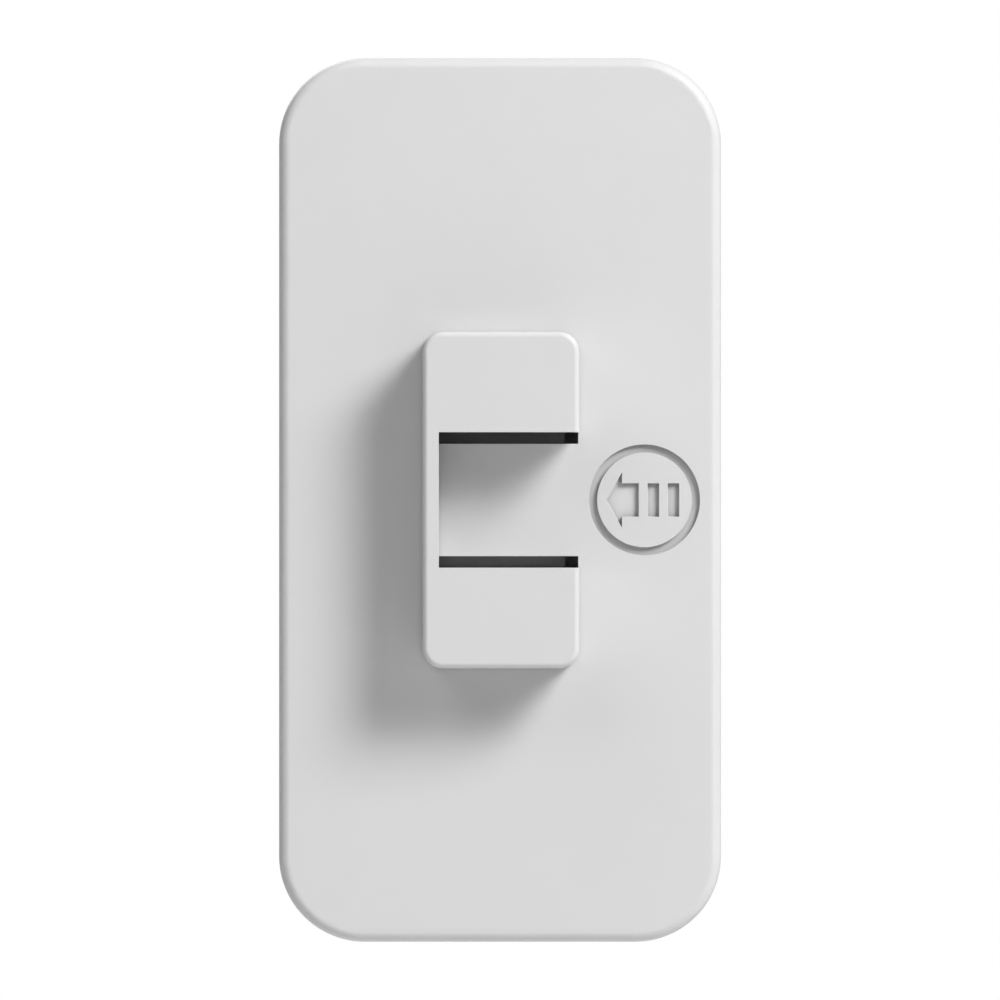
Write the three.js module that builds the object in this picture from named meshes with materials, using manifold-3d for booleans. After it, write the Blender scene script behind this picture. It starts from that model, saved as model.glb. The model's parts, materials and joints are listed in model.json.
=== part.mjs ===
// A slide dimmer switch for one gang of a wall box: a screwless face plate with a C-shaped knob that
// slides sideways, and behind it the strap, the slide potentiometer, the triac circuit and the housing.
//
// Millimetres. +X is right and +Z is up as seen from the room, and -Y faces the room. The wall's surface
// is the plane y = 0, and the origin is on it at the centre of the plate.

import * as THREE from "three";
import { mergeVertices } from "three/addons/utils/BufferGeometryUtils.js";
import Module from "manifold-3d";

const wasm = await Module();
wasm.setup();

// ---------------------------------------------------------------- driving dimensions

const GAP = 0.3; // air left between pieces that rest on each other
const CORNER_STEPS = 4; // half the facets of a quarter turn in an outline
const ROLL_STEPS = 4; // facets across a rolled edge
const PAST = 1; // how far a cutter runs past the face that it cuts
const LOOSE = 0.35; // how much wider a screw's hole is than the screw, on the radius

const PLATE = { width: 57.15, height: 114.3, depth: 8, corner: 11.1, edge: 1.4, wall: 2.2 };
const SLOT = { left: -9.8, right: 10.1, width: 1.48, z: 8.01 };
const ICON = { x: 18.67, outer: 7.18, inner: 6.12, depth: 0.6, steps: 20 };
const ARROW = { tip: -4.91, neck: -2.91, tail: -0.74, headHalf: 3.53, shaftHalf: 2.16 };
const BAR = { first: 0.43, width: 1.46, pitch: 2.6, count: 2 };
const HOOK = { z: 36, length: 8, reach: 0.9, back: -0.8, thick: 1 };

const KNOB = { x: 0.13, width: 20.2, height: 43.4, rise: 9.5, corner: 2.6, edge: 0.75 };
const NOTCH = { height: 17.5, spine: 2.07 };
const CORE = { skin: 2, wall: 1.8, rib: 1.4 };
const LEG = { x: -8.9, width: 1.4, thick: 1, tip: -2.4, barb: 0.54, barbLength: 0.6 };
const TRAVEL = 17.5;

const STRAP = { width: 43, height: 75, thick: 1.5, earWidth: 32, earHeight: 105, corner: 4 };
const BOX_HOLE_Z = 83.3 / 2; // device holes of a single-gang wall box
const PLATE_HOLE_Z = 96.84 / 2; // tapped holes for a plate or its frame
const BOX_SLOT = { width: 9, height: 4.3, corner: 2.1 };
const STRAP_WINDOW = { left: -12, right: 11.6, half: 3.2 };

const FRAME = { width: 52, height: 109, corner: 8.5, front: -3.9, back: -2.1, rim: 1.6 };
const FRAME_WINDOW = { width: 41, height: 30, corner: 2 };
const FRAME_HOLE = { screwR: 2, headR: 5.2 };

const GUIDE = { width: 40, height: 29, front: -5.5, corner: 1.5, windowHalf: 10.9 };
const GUIDE_SCREW = { x: 17.2, seat: -3.8 };
const CARRIAGE = { width: 9, half: 10.6, front: -5.2, tongue: 1, tongueFront: -4.4, tongueBack: -3.2 };
const WING = { left: -26, right: 8.4, half: 1.6, back: -4.8 };
const FORK = { inner: 1, outer: 2.2, half: 2.2, tip: 0.1 };
const LEVER = {
  tang: { width: 1.3, height: 2.4, front: -1.6, back: 2.6 },
  foot: { width: 7, height: 5.8, front: 1.6, back: 3.4 },
};
const WIPER = { width: 6, height: 5.4, front: 3.7, back: 4.05 };
const FINGER = { root: -1.2, front: 3.74, length: 3.2, thick: 0.3, width: 1.3, z: 1.7, tilt: 12 };
const FINGER_FOOT = { x: 2.7, width: 0.8 };

const POT = { left: -17.7, right: 17.3, front: 0.6, back: 7.4, half: 4.5, wall: 0.6 };
const POT_SLOT = { left: -11, right: 10.6, half: 1.6 };
const TRACK = { front: 5.6, back: 7.1, half: 3.6, pins: [-14, -10, 14], pinWidth: 0.8 };
const RAIL = { offStretch: 4, right: 15.3, front: 4.95, back: 5.3, z: 1.7, width: 1.6 };
const BOARD = { width: 32, height: 49, front: 8.5, thick: 1.6 };
const BOARD_HOLE = { x: 13, z: 21.5, radius: 1.2 };

const HOUSING = { width: 43, height: 62, depth: 30, wall: 2, corner: 3 };
const HOUSING_SCREW = { x: 17.2, z: 26.8, headR: 2.7, headHeight: 1.8, shankR: 1.4, seat: 27 };
const BOSS = { x: 14.9, z: 25 };
const LABEL = { width: 26, height: 40, corner: 2, depth: 0.4 };
const RECESS = { floor: 17.7, half: 5.5, front: 13, wall: 1.5 };
const TERMINAL = { thick: 1, half: 4.6, front: 14.5, back: 24.5, tabHalf: 1.5, footX: 14.2 };
const BINDING_SCREW = { y: 19.5, holeR: 2.05 };
const TERMINALS = [
  { name: "line", side: 1, z: 13 },
  { name: "load", side: 1, z: -13 },
  { name: "traveller", side: -1, z: 0 },
];

const TRIAC = { width: 10.2, bodyBottom: 12.5, tabBottom: 21.8, top: 28.3, hole: 25.2, front: 0.7 };
const TRIAC_THICK = { tab: 1.3, body: 4.5 };
const TRIAC_LEAD = { pitch: 2.54, width: 0.8, thick: 0.6, front: 2.9, drop: 2 };
const INSULATOR = { thick: 0.4, overlapX: 1, overlapZ: 0.5 };
const GROUND = { x: -17, z: -34.3 };
const CHOKE = { x: 6.2, z: -16.6, flange: 7.5, hub: 3, cheek: 1.5, height: 13.5, inset: 0.6, sides: 28 };
const TRIM = { x: 12.5, z: -19, dialR: 3.6, dialFront: -4.3, dialBack: -2.3, stemR: 1.2, stemBack: 3.2 };
const TRIM_BODY = { size: 7, front: 2, boreDepth: 1.5 };
const TRIM_SLOT = { length: 5, width: 0.9, depth: 0.8 };
const TRIM_POINTER = { start: 1.2, width: 0.7, depth: 0.5 };

const SCREWS = {
  box: { headR: 3.4, headHeight: 2, shankR: 1.75, length: 22 },
  frame: { headR: 3, headHeight: 1.2, shankR: 1.6, length: 8 },
  guide: { headR: 2, headHeight: 1.2, shankR: 1, length: 3.6, slot: 0.6 },
  ground: { headR: 3, headHeight: 2, shankR: 1.75, length: 1.9 },
  triac: { headR: 2.7, headHeight: 2, shankR: 1.5, length: 3.9 },
  binding: { headR: 3.4, headHeight: 2, shankR: 1.7, length: 4.8 },
};
const SCREW_SHARE = { flat: 0.7, dome: 0.35, point: 0.6, taper: 0.5 }; // of the head's or the shank's size
const SCREW_SLOT_DEPTH = 0.6;

const CAPACITORS = [
  { name: "film_capacitor", width: 11, depth: 11, height: 13, x: -8, z: -16.5 },
  { name: "timing_capacitor", width: 7, depth: 7.5, height: 5, x: -9.5, z: 12.5 },
];
const AXIAL_PARTS = [
  { name: "snubber_resistor", length: 9, radius: 2.1, waist: 1.8, x: 1, z: 14 },
  { name: "timing_resistor", length: 6.5, radius: 1.3, waist: 1.1, x: 7, z: 14 },
  { name: "diac", length: 4, radius: 1, waist: 1, x: 11.5, z: 0 },
];

const strapFront = -GAP - STRAP.thick;
const plateInside = -PLATE.depth + PLATE.wall;
const knobBack = -PLATE.depth - GAP;
const knobFront = -PLATE.depth - KNOB.rise;
const boardBack = BOARD.front + BOARD.thick;
const partsFront = boardBack + GAP;

// ---------------------------------------------------------------- materials

function finish(color, roughness, metalness = 0) {
  return new THREE.MeshStandardMaterial({ color, roughness, metalness });
}

const wallPlastic = finish(0xcdcdcd, 0.45);
const framePlastic = finish(0xcfcfcc, 0.6);
const blackPlastic = finish(0x1b1c1e, 0.55);
const nylon = finish(0x7c7c7c, 0.5);
const aluminium = finish(0xb4b6b8, 0.4, 1);
const zincSteel = finish(0xaeb0b2, 0.35, 1);
const brass = finish(0xc9a24a, 0.35, 1);
const greenSteel = finish(0x2f7a45, 0.4, 0.6);
const epoxyBoard = finish(0x1f5a34, 0.5);
const phenolic = finish(0x6b3f22, 0.6);
const ferrite = finish(0x33353a, 0.7);
const copper = finish(0xa85a2a, 0.35, 1);
const filmYellow = finish(0xd9a520, 0.5);
const resistorBlue = finish(0x4a79a8, 0.5);
const diacBlue = finish(0x27467c, 0.2);
const silicone = finish(0x8e979c, 0.8);

// ---------------------------------------------------------------- solids

/** A closed geometry as a manifold solid. */
function solid(geometry) {
  const bare = new THREE.BufferGeometry();
  const flat = geometry.index ? geometry.toNonIndexed() : geometry;
  bare.setAttribute("position", flat.getAttribute("position"));
  const merged = mergeVertices(bare, 1e-4);
  return new wasm.Manifold(
    new wasm.Mesh({
      numProp: 3,
      vertProperties: merged.attributes.position.array,
      triVerts: new Uint32Array(merged.index.array),
    }),
  );
}

function join(first, ...others) {
  return others.reduce((sum, other) => sum.add(other), first);
}

function cut(first, ...tools) {
  return tools.reduce((rest, tool) => rest.subtract(tool), first);
}

/** A box between two values on each axis. */
function box([x0, x1], [y0, y1], [z0, z1]) {
  const geometry = new THREE.BoxGeometry(x1 - x0, y1 - y0, z1 - z0);
  return solid(geometry.translate((x0 + x1) / 2, (y0 + y1) / 2, (z0 + z1) / 2));
}

/** Mirrors an interval to the given side of zero. */
function onSide(side, [near, far]) {
  return side > 0 ? [near, far] : [-far, -near];
}

/** The interval of a given width about a centre. */
function about(centre, width) {
  return [centre - width / 2, centre + width / 2];
}

/** An outline in X and Z, extruded from y0 to y1. */
function slab(shape, y0, y1, curveSegments = CORNER_STEPS) {
  const geometry = new THREE.ExtrudeGeometry(shape, { depth: y1 - y0, bevelEnabled: false, curveSegments });
  return solid(geometry.rotateX(Math.PI / 2).translate(0, y1, 0));
}

function roundedRect(width, height, radius) {
  const w = width / 2 - radius;
  const h = height / 2 - radius;
  const quarter = Math.PI / 2;
  const shape = new THREE.Shape();
  shape.absarc(w, h, radius, 0, quarter);
  shape.absarc(-w, h, radius, quarter, 2 * quarter);
  shape.absarc(-w, -h, radius, 2 * quarter, 3 * quarter);
  shape.absarc(w, -h, radius, 3 * quarter, 4 * quarter);
  return shape;
}

/** A round hole's cutter, or a round rod, along Y. */
function rod(radius, [y0, y1], x = 0, z = 0, sides = 16) {
  const geometry = new THREE.CylinderGeometry(radius, radius, y1 - y0, sides);
  return solid(geometry.translate(x, (y0 + y1) / 2, z));
}

/** A profile of [radius, y] pairs, from the axis back to the axis, turned about Y. */
function turned(profile, sides = 16) {
  const points = profile.map(([r, y]) => new THREE.Vector2(r, y));
  return solid(new THREE.LatheGeometry(points, sides));
}

/** Joins rings of equal point count, front one first, into a closed body. */
function loft(rings) {
  const count = rings[0].points.length;
  const positions = rings.flatMap(({ y, points }) => points.flatMap((p) => [p.x, y, p.y]));
  const faces = [];
  for (let r = 0; r < rings.length - 1; r++) {
    for (let k = 0; k < count; k++) {
      const next = (k + 1) % count;
      const [front, back] = [r * count, (r + 1) * count];
      faces.push(front + k, back + k, front + next);
      faces.push(front + next, back + k, back + next);
    }
  }
  const last = (rings.length - 1) * count;
  for (const [a, b, c] of THREE.ShapeUtils.triangulateShape(rings[0].points, [])) {
    faces.push(a, b, c);
  }
  for (const [a, b, c] of THREE.ShapeUtils.triangulateShape(rings.at(-1).points, [])) {
    faces.push(last + a, last + c, last + b);
  }
  const geometry = new THREE.BufferGeometry();
  geometry.setAttribute("position", new THREE.Float32BufferAttribute(positions, 3));
  geometry.setIndex(faces);
  return solid(geometry);
}

/** A rounded rectangle standing on y = back, with its front edge rounded over. */
function pillow({ width, height, corner, edge }, front, back) {
  const rings = [];
  for (let i = 0; i <= ROLL_STEPS; i++) {
    const angle = (1 - i / ROLL_STEPS) * (Math.PI / 2);
    const inset = edge * (1 - Math.cos(angle));
    const outline = roundedRect(width - 2 * inset, height - 2 * inset, corner - inset);
    rings.push({ y: front + edge * (1 - Math.sin(angle)), points: outline.getPoints(CORNER_STEPS) });
  }
  rings.push({ y: back, points: rings.at(-1).points });
  return loft(rings);
}

/** A pan-head screw along Y: its head faces -Y and its bearing face is at y = 0. */
function screw({ headR, headHeight, shankR, length, slot = 0.9 }) {
  const { flat, dome, point, taper } = SCREW_SHARE;
  const body = turned([
    [0, -headHeight],
    [headR * flat, -headHeight],
    [headR, (dome - 1) * headHeight],
    [headR, 0],
    [shankR, 0],
    [shankR, length - shankR * taper],
    [shankR * point, length],
    [0, length],
  ]);
  const drive = box(about(0, 2 * headR + PAST), about(-headHeight, 2 * SCREW_SLOT_DEPTH), about(0, slot));
  return cut(body, drive);
}

// ---------------------------------------------------------------- meshes

/** A named mesh from a solid, which may then be placed. */
function mesh(name, body, material) {
  const { numProp, vertProperties, triVerts } = body.getMesh();
  const shared = new THREE.BufferGeometry();
  shared.setAttribute("position", new THREE.BufferAttribute(new Float32Array(vertProperties), numProp));
  shared.setIndex(new THREE.BufferAttribute(new Uint32Array(triVerts), 1));
  const geometry = shared.toNonIndexed();
  geometry.computeVertexNormals();
  const made = new THREE.Mesh(geometry, material);
  made.name = name;
  return made;
}

// ---------------------------------------------------------------- what the room sees

function icon(y0, y1) {
  const ring = new THREE.Shape().absarc(0, 0, ICON.outer, 0, 2 * Math.PI);
  ring.holes.push(new THREE.Path().absarc(0, 0, ICON.inner, 0, 2 * Math.PI));
  const arrow = new THREE.Shape([
    new THREE.Vector2(ARROW.tip, 0),
    new THREE.Vector2(ARROW.neck, -ARROW.headHalf),
    new THREE.Vector2(ARROW.neck, -ARROW.shaftHalf),
    new THREE.Vector2(ARROW.tail, -ARROW.shaftHalf),
    new THREE.Vector2(ARROW.tail, ARROW.shaftHalf),
    new THREE.Vector2(ARROW.neck, ARROW.shaftHalf),
    new THREE.Vector2(ARROW.neck, ARROW.headHalf),
  ]);
  const bars = [];
  for (let i = 0; i < BAR.count; i++) {
    const left = BAR.first + i * BAR.pitch;
    bars.push(box([left, left + BAR.width], [y0, y1], about(0, 2 * ARROW.shaftHalf)));
  }
  const cutters = [slab(ring, y0, y1, ICON.steps), slab(arrow, y0, y1), ...bars];
  return cutters.map((cutter) => cutter.translate([ICON.x, 0, 0]));
}

/** The intervals on X, mirrored to each side, and the heights of the plate's four snap hooks. */
function hookPlaces(near, far) {
  return [-1, 1].flatMap((side) => [-HOOK.z, HOOK.z].map((z) => ({ x: onSide(side, [near, far]), z })));
}

/** The screwless cover: a shallow tray with two slots, the engraved icon and four snap hooks. */
function facePlate() {
  const { width, height, depth, corner, wall } = PLATE;
  const inside = roundedRect(width - 2 * wall, height - 2 * wall, corner - wall);
  const slots = [-1, 1].map((side) =>
    box([SLOT.left, SLOT.right], [-depth - PAST, plateInside + PAST], about(side * SLOT.z, SLOT.width)),
  );
  const wallX = width / 2 - wall;
  const hooks = hookPlaces(wallX - HOOK.reach, wallX + wall / 2).map(({ x, z }) =>
    box(x, [HOOK.back - HOOK.thick, HOOK.back], about(z, HOOK.length)),
  );
  const tray = cut(pillow(PLATE, -depth, 0), slab(inside, plateInside, PAST), ...slots);
  const engraved = cut(tray, ...icon(-depth - PAST, -depth + ICON.depth));
  return mesh("face_plate", join(engraved, ...hooks), wallPlastic);
}

/** The C-shaped knob: a block with a finger notch open to the right, cored out from behind, on two legs. */
function sliderKnob() {
  const left = KNOB.x - KNOB.width / 2;
  const right = KNOB.x + KNOB.width / 2;
  const notch = box([left + NOTCH.spine, right + PAST], [knobFront - PAST, 0], about(0, NOTCH.height));
  const coreWidth = (KNOB.width - 2 * CORE.wall - CORE.rib) / 2;
  const coreZ = [NOTCH.height / 2 + CORE.wall, KNOB.height / 2 - CORE.wall];
  const cores = [];
  for (const x of [left + CORE.wall, right - CORE.wall - coreWidth]) {
    for (const z of [coreZ, [-coreZ[1], -coreZ[0]]]) {
      cores.push(box([x, x + coreWidth], [knobFront + CORE.skin, knobBack + PAST], z));
    }
  }
  const block = pillow(KNOB, knobFront, knobBack).translate([KNOB.x, 0, 0]);
  const legs = [-1, 1].map((side) => knobLeg(side));
  return mesh("slider_knob", join(cut(block, notch, ...cores), ...legs), wallPlastic);
}

/** One leg of the knob, with the barb that holds it in the carriage. */
function knobLeg(side) {
  const x = about(LEG.x, LEG.width);
  const blade = box(x, [knobBack - PAST / 2, LEG.tip], about(side * SLOT.z, LEG.thick));
  const barbZ = onSide(side, [SLOT.z, SLOT.z + LEG.thick / 2 + LEG.barb]);
  return join(blade, box(x, [LEG.tip - LEG.barbLength, LEG.tip], barbZ));
}

// ---------------------------------------------------------------- what holds it to the wall

/** The frame that the face plate snaps onto. */
function mountingFrame() {
  const { width, height, corner, front, back, rim } = FRAME;
  const inside = roundedRect(width - 2 * rim, height - 2 * rim, corner - rim);
  const window = roundedRect(FRAME_WINDOW.width, FRAME_WINDOW.height, FRAME_WINDOW.corner);
  const through = [front - PAST, 0];
  const screwHoles = [-1, 1].flatMap((side) => [
    rod(FRAME_HOLE.screwR, through, 0, side * PLATE_HOLE_Z),
    rod(FRAME_HOLE.headR, through, 0, side * BOX_HOLE_Z),
  ]);
  const dialHole = rod(TRIM.dialR + 1, through, TRIM.x, TRIM.z);
  const hookNotches = hookPlaces(width / 2 - rim - GAP / 2, width / 2 + PAST).map(({ x, z }) =>
    box(x, [back, 0], about(z, HOOK.length + 4 * GAP)),
  );
  const tray = cut(slab(roundedRect(width, height, corner), front, -GAP), slab(inside, back, 0));
  const body = cut(tray, slab(window, ...through), dialHole, ...screwHoles, ...hookNotches);
  return mesh("mounting_frame", body, framePlastic);
}

/** The metal strap: its ears meet the wall box, and its middle carries the mechanism. */
function mountingStrap() {
  const middle = slab(roundedRect(STRAP.width, STRAP.height, STRAP.corner), strapFront, -GAP);
  const spine = slab(roundedRect(STRAP.earWidth, STRAP.earHeight, STRAP.corner), strapFront, -GAP);
  const through = [strapFront - PAST, PAST];
  const earZ = [STRAP.height / 2 + PAST, STRAP.earHeight / 2];
  const earOutline = roundedRect(STRAP.earWidth - 2 * GAP, earZ[1] - earZ[0], STRAP.corner - 1);
  const earPad = slab(earOutline, strapFront, 0);
  const ears = [-1, 1].map((side) => earPad.translate([0, 0, (side * (earZ[0] + earZ[1])) / 2]));
  const boxSlot = slab(roundedRect(BOX_SLOT.width, BOX_SLOT.height, BOX_SLOT.corner), ...through);
  const holes = [-1, 1].flatMap((side) => [
    boxSlot.translate([0, 0, side * BOX_HOLE_Z]),
    rod(SCREWS.frame.shankR + LOOSE, through, 0, side * PLATE_HOLE_Z),
    rod(SCREWS.guide.shankR + LOOSE, through, side * GUIDE_SCREW.x, 0),
    rod(HOUSING_SCREW.shankR + LOOSE, through, side * HOUSING_SCREW.x, HOUSING_SCREW.z),
    rod(HOUSING_SCREW.shankR + LOOSE, through, side * HOUSING_SCREW.x, -HOUSING_SCREW.z),
  ]);
  const window = box([STRAP_WINDOW.left, STRAP_WINDOW.right], through, about(0, 2 * STRAP_WINDOW.half));
  const body = cut(
    join(middle, spine, ...ears),
    ...holes,
    window,
    rod(SCREWS.triac.shankR + LOOSE, through, 0, TRIAC.hole),
    rod(SCREWS.ground.shankR + LOOSE, through, GROUND.x, GROUND.z),
    rod(TRIM.stemR + 2 * LOOSE, through, TRIM.x, TRIM.z),
  );
  return mesh("mounting_strap", body, aluminium);
}

/** The screws of the strap and the frame, each with its head towards the room. */
function strapScrews() {
  const boxScrew = screw(SCREWS.box);
  const frameScrew = screw(SCREWS.frame);
  const guideScrew = screw(SCREWS.guide);
  const made = [];
  for (const [word, side] of [["top", 1], ["bottom", -1]]) {
    const inBox = mesh(`box_screw_${word}`, boxScrew, zincSteel);
    inBox.position.set(0, strapFront - GAP, side * BOX_HOLE_Z);
    const inFrame = mesh(`frame_screw_${word}`, frameScrew, zincSteel);
    inFrame.position.set(0, FRAME.front - GAP, side * PLATE_HOLE_Z);
    made.push(inBox, inFrame);
  }
  for (const [word, side] of [["left", -1], ["right", 1]]) {
    const inGuide = mesh(`guide_screw_${word}`, guideScrew, zincSteel);
    inGuide.position.set(side * GUIDE_SCREW.x, GUIDE_SCREW.seat - GAP, 0);
    made.push(inGuide);
  }
  return made;
}

/** The green earthing screw on the strap's back. */
function groundScrew() {
  const made = mesh("ground_screw", screw(SCREWS.ground), greenSteel);
  made.rotation.x = Math.PI;
  made.position.set(GROUND.x, 0, GROUND.z);
  return made;
}

// ---------------------------------------------------------------- the slide

/** The moulded ring in which the carriage slides; the ends of its window are the stops of the travel. */
function slideGuide() {
  const back = strapFront - GAP;
  const carriage = about(LEG.x, CARRIAGE.width);
  const windowX = [carriage[0] - GAP, carriage[1] + TRAVEL + GAP];
  const window = box(windowX, [GUIDE.front - PAST, 0], about(0, 2 * GUIDE.windowHalf));
  const grooveY = [CARRIAGE.tongueFront - GAP, CARRIAGE.tongueBack + GAP];
  const groove = box(windowX, grooveY, about(0, 2 * (GUIDE.windowHalf + CARRIAGE.tongue)));
  const seats = [-1, 1].flatMap((side) => [
    rod(SCREWS.guide.headR + LOOSE, [GUIDE.front - PAST, GUIDE_SCREW.seat], side * GUIDE_SCREW.x, 0),
    rod(SCREWS.guide.shankR + LOOSE, [GUIDE.front - PAST, 0], side * GUIDE_SCREW.x, 0),
  ]);
  const channels = [-1, 1].map((side) =>
    box(
      about(0, GUIDE.width + PAST),
      [GUIDE.front - PAST, WING.back + GAP],
      about(side * SLOT.z, 2 * (WING.half + GAP)),
    ),
  );
  const ring = slab(roundedRect(GUIDE.width, GUIDE.height, GUIDE.corner), GUIDE.front, back);
  return mesh("slide_guide", cut(ring, window, groove, ...channels, ...seats), nylon);
}

/**
 * The carriage: the knob's legs snap into it, its fork drives the potentiometer's lever, and its two long
 * wings close the plate's slots behind the knob.
 */
function slideCarriage() {
  const back = strapFront - GAP;
  const x = about(LEG.x, CARRIAGE.width);
  const block = box(x, [CARRIAGE.front, back], about(0, 2 * CARRIAGE.half));
  const tongueHalf = CARRIAGE.half + CARRIAGE.tongue;
  const tongues = box(x, [CARRIAGE.tongueFront, CARRIAGE.tongueBack], about(0, 2 * tongueHalf));
  const prongs = [-1, 1].map((side) =>
    box(onSide(side, [FORK.inner, FORK.outer]), [back - PAST, FORK.tip], about(0, 2 * FORK.half)),
  );
  const fork = join(...prongs).translate([LEG.x, 0, 0]);
  const wings = [-1, 1].map((side) =>
    box([WING.left, WING.right], [CARRIAGE.front, WING.back], about(side * SLOT.z, 2 * WING.half)),
  );
  const sockets = [-1, 1].flatMap((side) => {
    const hole = box(
      about(LEG.x, LEG.width + 2 * GAP),
      [CARRIAGE.front - PAST, back + PAST],
      about(side * SLOT.z, LEG.thick + 2 * GAP),
    );
    const barbY = [LEG.tip - LEG.barbLength - GAP, back + PAST];
    const barbZ = about(side * (SLOT.z + LEG.barb / 2), LEG.thick + LEG.barb + 2 * GAP);
    return [hole, box(about(LEG.x, LEG.width + 2 * GAP), barbY, barbZ)];
  });
  return mesh("slide_carriage", cut(join(block, tongues, fork, ...wings), ...sockets), nylon);
}

/** The potentiometer's plastic slider: its tang stands up between the carriage's prongs. */
function wiperLever() {
  const [tang, foot] = [LEVER.tang, LEVER.foot].map(({ width, height, front, back }) =>
    box(about(LEG.x, width), [front, back], about(0, height)),
  );
  return mesh("wiper_lever", join(tang, foot), blackPlastic);
}

/** The sprung contact under the lever: one finger rests on the track and one on the contact rail. */
function wiperContact() {
  const { root, front, length, thick, width, z, tilt } = FINGER;
  const base = box(about(LEG.x, WIPER.width), [WIPER.front, WIPER.back], about(0, WIPER.height));
  const fingers = [[1, RAIL.front], [-1, TRACK.front]].map(([side, contact]) => {
    const across = about(side * z, width);
    const leaf = box([0, length], [0, thick], across).rotate([0, 0, tilt]);
    const foot = box(about(FINGER_FOOT.x, FINGER_FOOT.width), [thick, contact - GAP - front], across);
    return join(leaf, foot).translate([LEG.x + root, front, 0]);
  });
  return mesh("wiper_contact", join(base, ...fingers), brass);
}

function slidePotCase() {
  const { left, right, front, back, half, wall } = POT;
  const shell = box([left, right], [front, back], about(0, 2 * half));
  const hollow = box([left + wall, right - wall], [front + wall, back + PAST], about(0, 2 * (half - wall)));
  const slotX = [POT_SLOT.left, POT_SLOT.right];
  const slot = box(slotX, [front - PAST, front + PAST], about(0, 2 * POT_SLOT.half));
  return mesh("slide_pot_case", cut(shell, hollow, slot), zincSteel);
}

/** The carbon track on its phenolic strip, with three pins to the circuit board. */
function resistiveTrack() {
  const x = [POT.left + POT.wall + GAP, POT.right - POT.wall - GAP];
  const strip = box(x, [TRACK.front, TRACK.back], about(0, 2 * TRACK.half));
  const pins = TRACK.pins.map((pinX) =>
    box(about(pinX, TRACK.pinWidth), [TRACK.back - PAST, BOARD.front - GAP], about(0, TRACK.pinWidth)),
  );
  return mesh("resistive_track", join(strip, ...pins), phenolic);
}

/** The rail that carries the load's current. It stops short of the left end, where the dimmer is off. */
function contactRail() {
  const { offStretch, right, front, back, z, width } = RAIL;
  return mesh("contact_rail", box([LEG.x + offStretch, right], [front, back], about(z, width)), brass);
}

// ---------------------------------------------------------------- the circuit

function circuitBoard() {
  const board = box(about(0, BOARD.width), [BOARD.front, boardBack], about(0, BOARD.height));
  const { x, z, radius } = BOARD_HOLE;
  const through = [BOARD.front - PAST, boardBack + PAST];
  const cornerHoles = [[-x, -z], [-x, z], [x, -z], [x, z]].map((at) => rod(radius, through, ...at));
  return mesh("circuit_board", cut(board, ...cornerHoles), epoxyBoard);
}

/** The triac in its tab package, with three leads bent back to the board. */
function triac() {
  const { width, bodyBottom, tabBottom, top, hole, front } = TRIAC;
  const lead = TRIAC_LEAD;
  const tab = box(about(0, width), [front, front + TRIAC_THICK.tab], [tabBottom - PAST, top]);
  const body = box(about(0, width), [front, front + TRIAC_THICK.body], [bodyBottom, tabBottom]);
  const leadBottom = bodyBottom - lead.drop;
  const leads = [-1, 0, 1].flatMap((place) => {
    const x = about(place * lead.pitch, lead.width);
    return [
      box(x, [lead.front, lead.front + lead.thick], [leadBottom, bodyBottom + PAST]),
      box(x, [lead.front, BOARD.front - GAP], [leadBottom, leadBottom + lead.thick]),
    ];
  });
  const screwHole = rod(SCREWS.triac.shankR + LOOSE, [0, front + TRIAC_THICK.tab + PAST], 0, hole);
  return mesh("triac", cut(join(tab, body, ...leads), screwHole), blackPlastic);
}

function triacInsulator() {
  const { thick, overlapX, overlapZ } = INSULATOR;
  const z = [TRIAC.bodyBottom - overlapZ, TRIAC.top + overlapZ];
  const sheet = box(about(0, TRIAC.width + 2 * overlapX), [0, thick], z);
  const screwHole = rod(SCREWS.triac.shankR + LOOSE, [-PAST, PAST], 0, TRIAC.hole);
  return mesh("triac_insulator", cut(sheet, screwHole), silicone);
}

function triacScrew() {
  const made = mesh("triac_screw", screw(SCREWS.triac), zincSteel);
  made.rotation.x = Math.PI;
  made.position.set(0, TRIAC.front + TRIAC_THICK.tab + GAP, TRIAC.hole);
  return made;
}

/** The interference choke: a ferrite bobbin standing on the board, and its winding. */
function choke() {
  const { x, z, flange, hub, cheek, height, inset, sides } = CHOKE;
  const core = turned([
    [0, 0],
    [flange, 0],
    [flange, cheek],
    [hub, cheek],
    [hub, height - cheek],
    [flange, height - cheek],
    [flange, height],
    [0, height],
  ], sides);
  const winding = cut(
    rod(flange - inset, [cheek + GAP, height - cheek - GAP], 0, 0, sides),
    rod(hub + GAP, [0, height], 0, 0, sides),
  );
  return [mesh("choke_core", core, ferrite), mesh("choke_winding", winding, copper)].map((piece) => {
    piece.position.set(x, partsFront, z);
    return piece;
  });
}

/** A moulded film capacitor with chamfered edges, standing on the board. */
function capacitor({ name, width, depth, height, x, z }, material) {
  const outline = new THREE.Shape();
  const chamfer = 0.8;
  const [w, h] = [width / 2, height / 2];
  outline.moveTo(chamfer - w, -h);
  outline.lineTo(w - chamfer, -h);
  outline.lineTo(w, chamfer - h);
  outline.lineTo(w, h - chamfer);
  outline.lineTo(w - chamfer, h);
  outline.lineTo(chamfer - w, h);
  outline.lineTo(-w, h - chamfer);
  outline.lineTo(-w, chamfer - h);
  const made = mesh(name, slab(outline, 0, depth), material);
  made.position.set(x, partsFront, z);
  return made;
}

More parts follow.
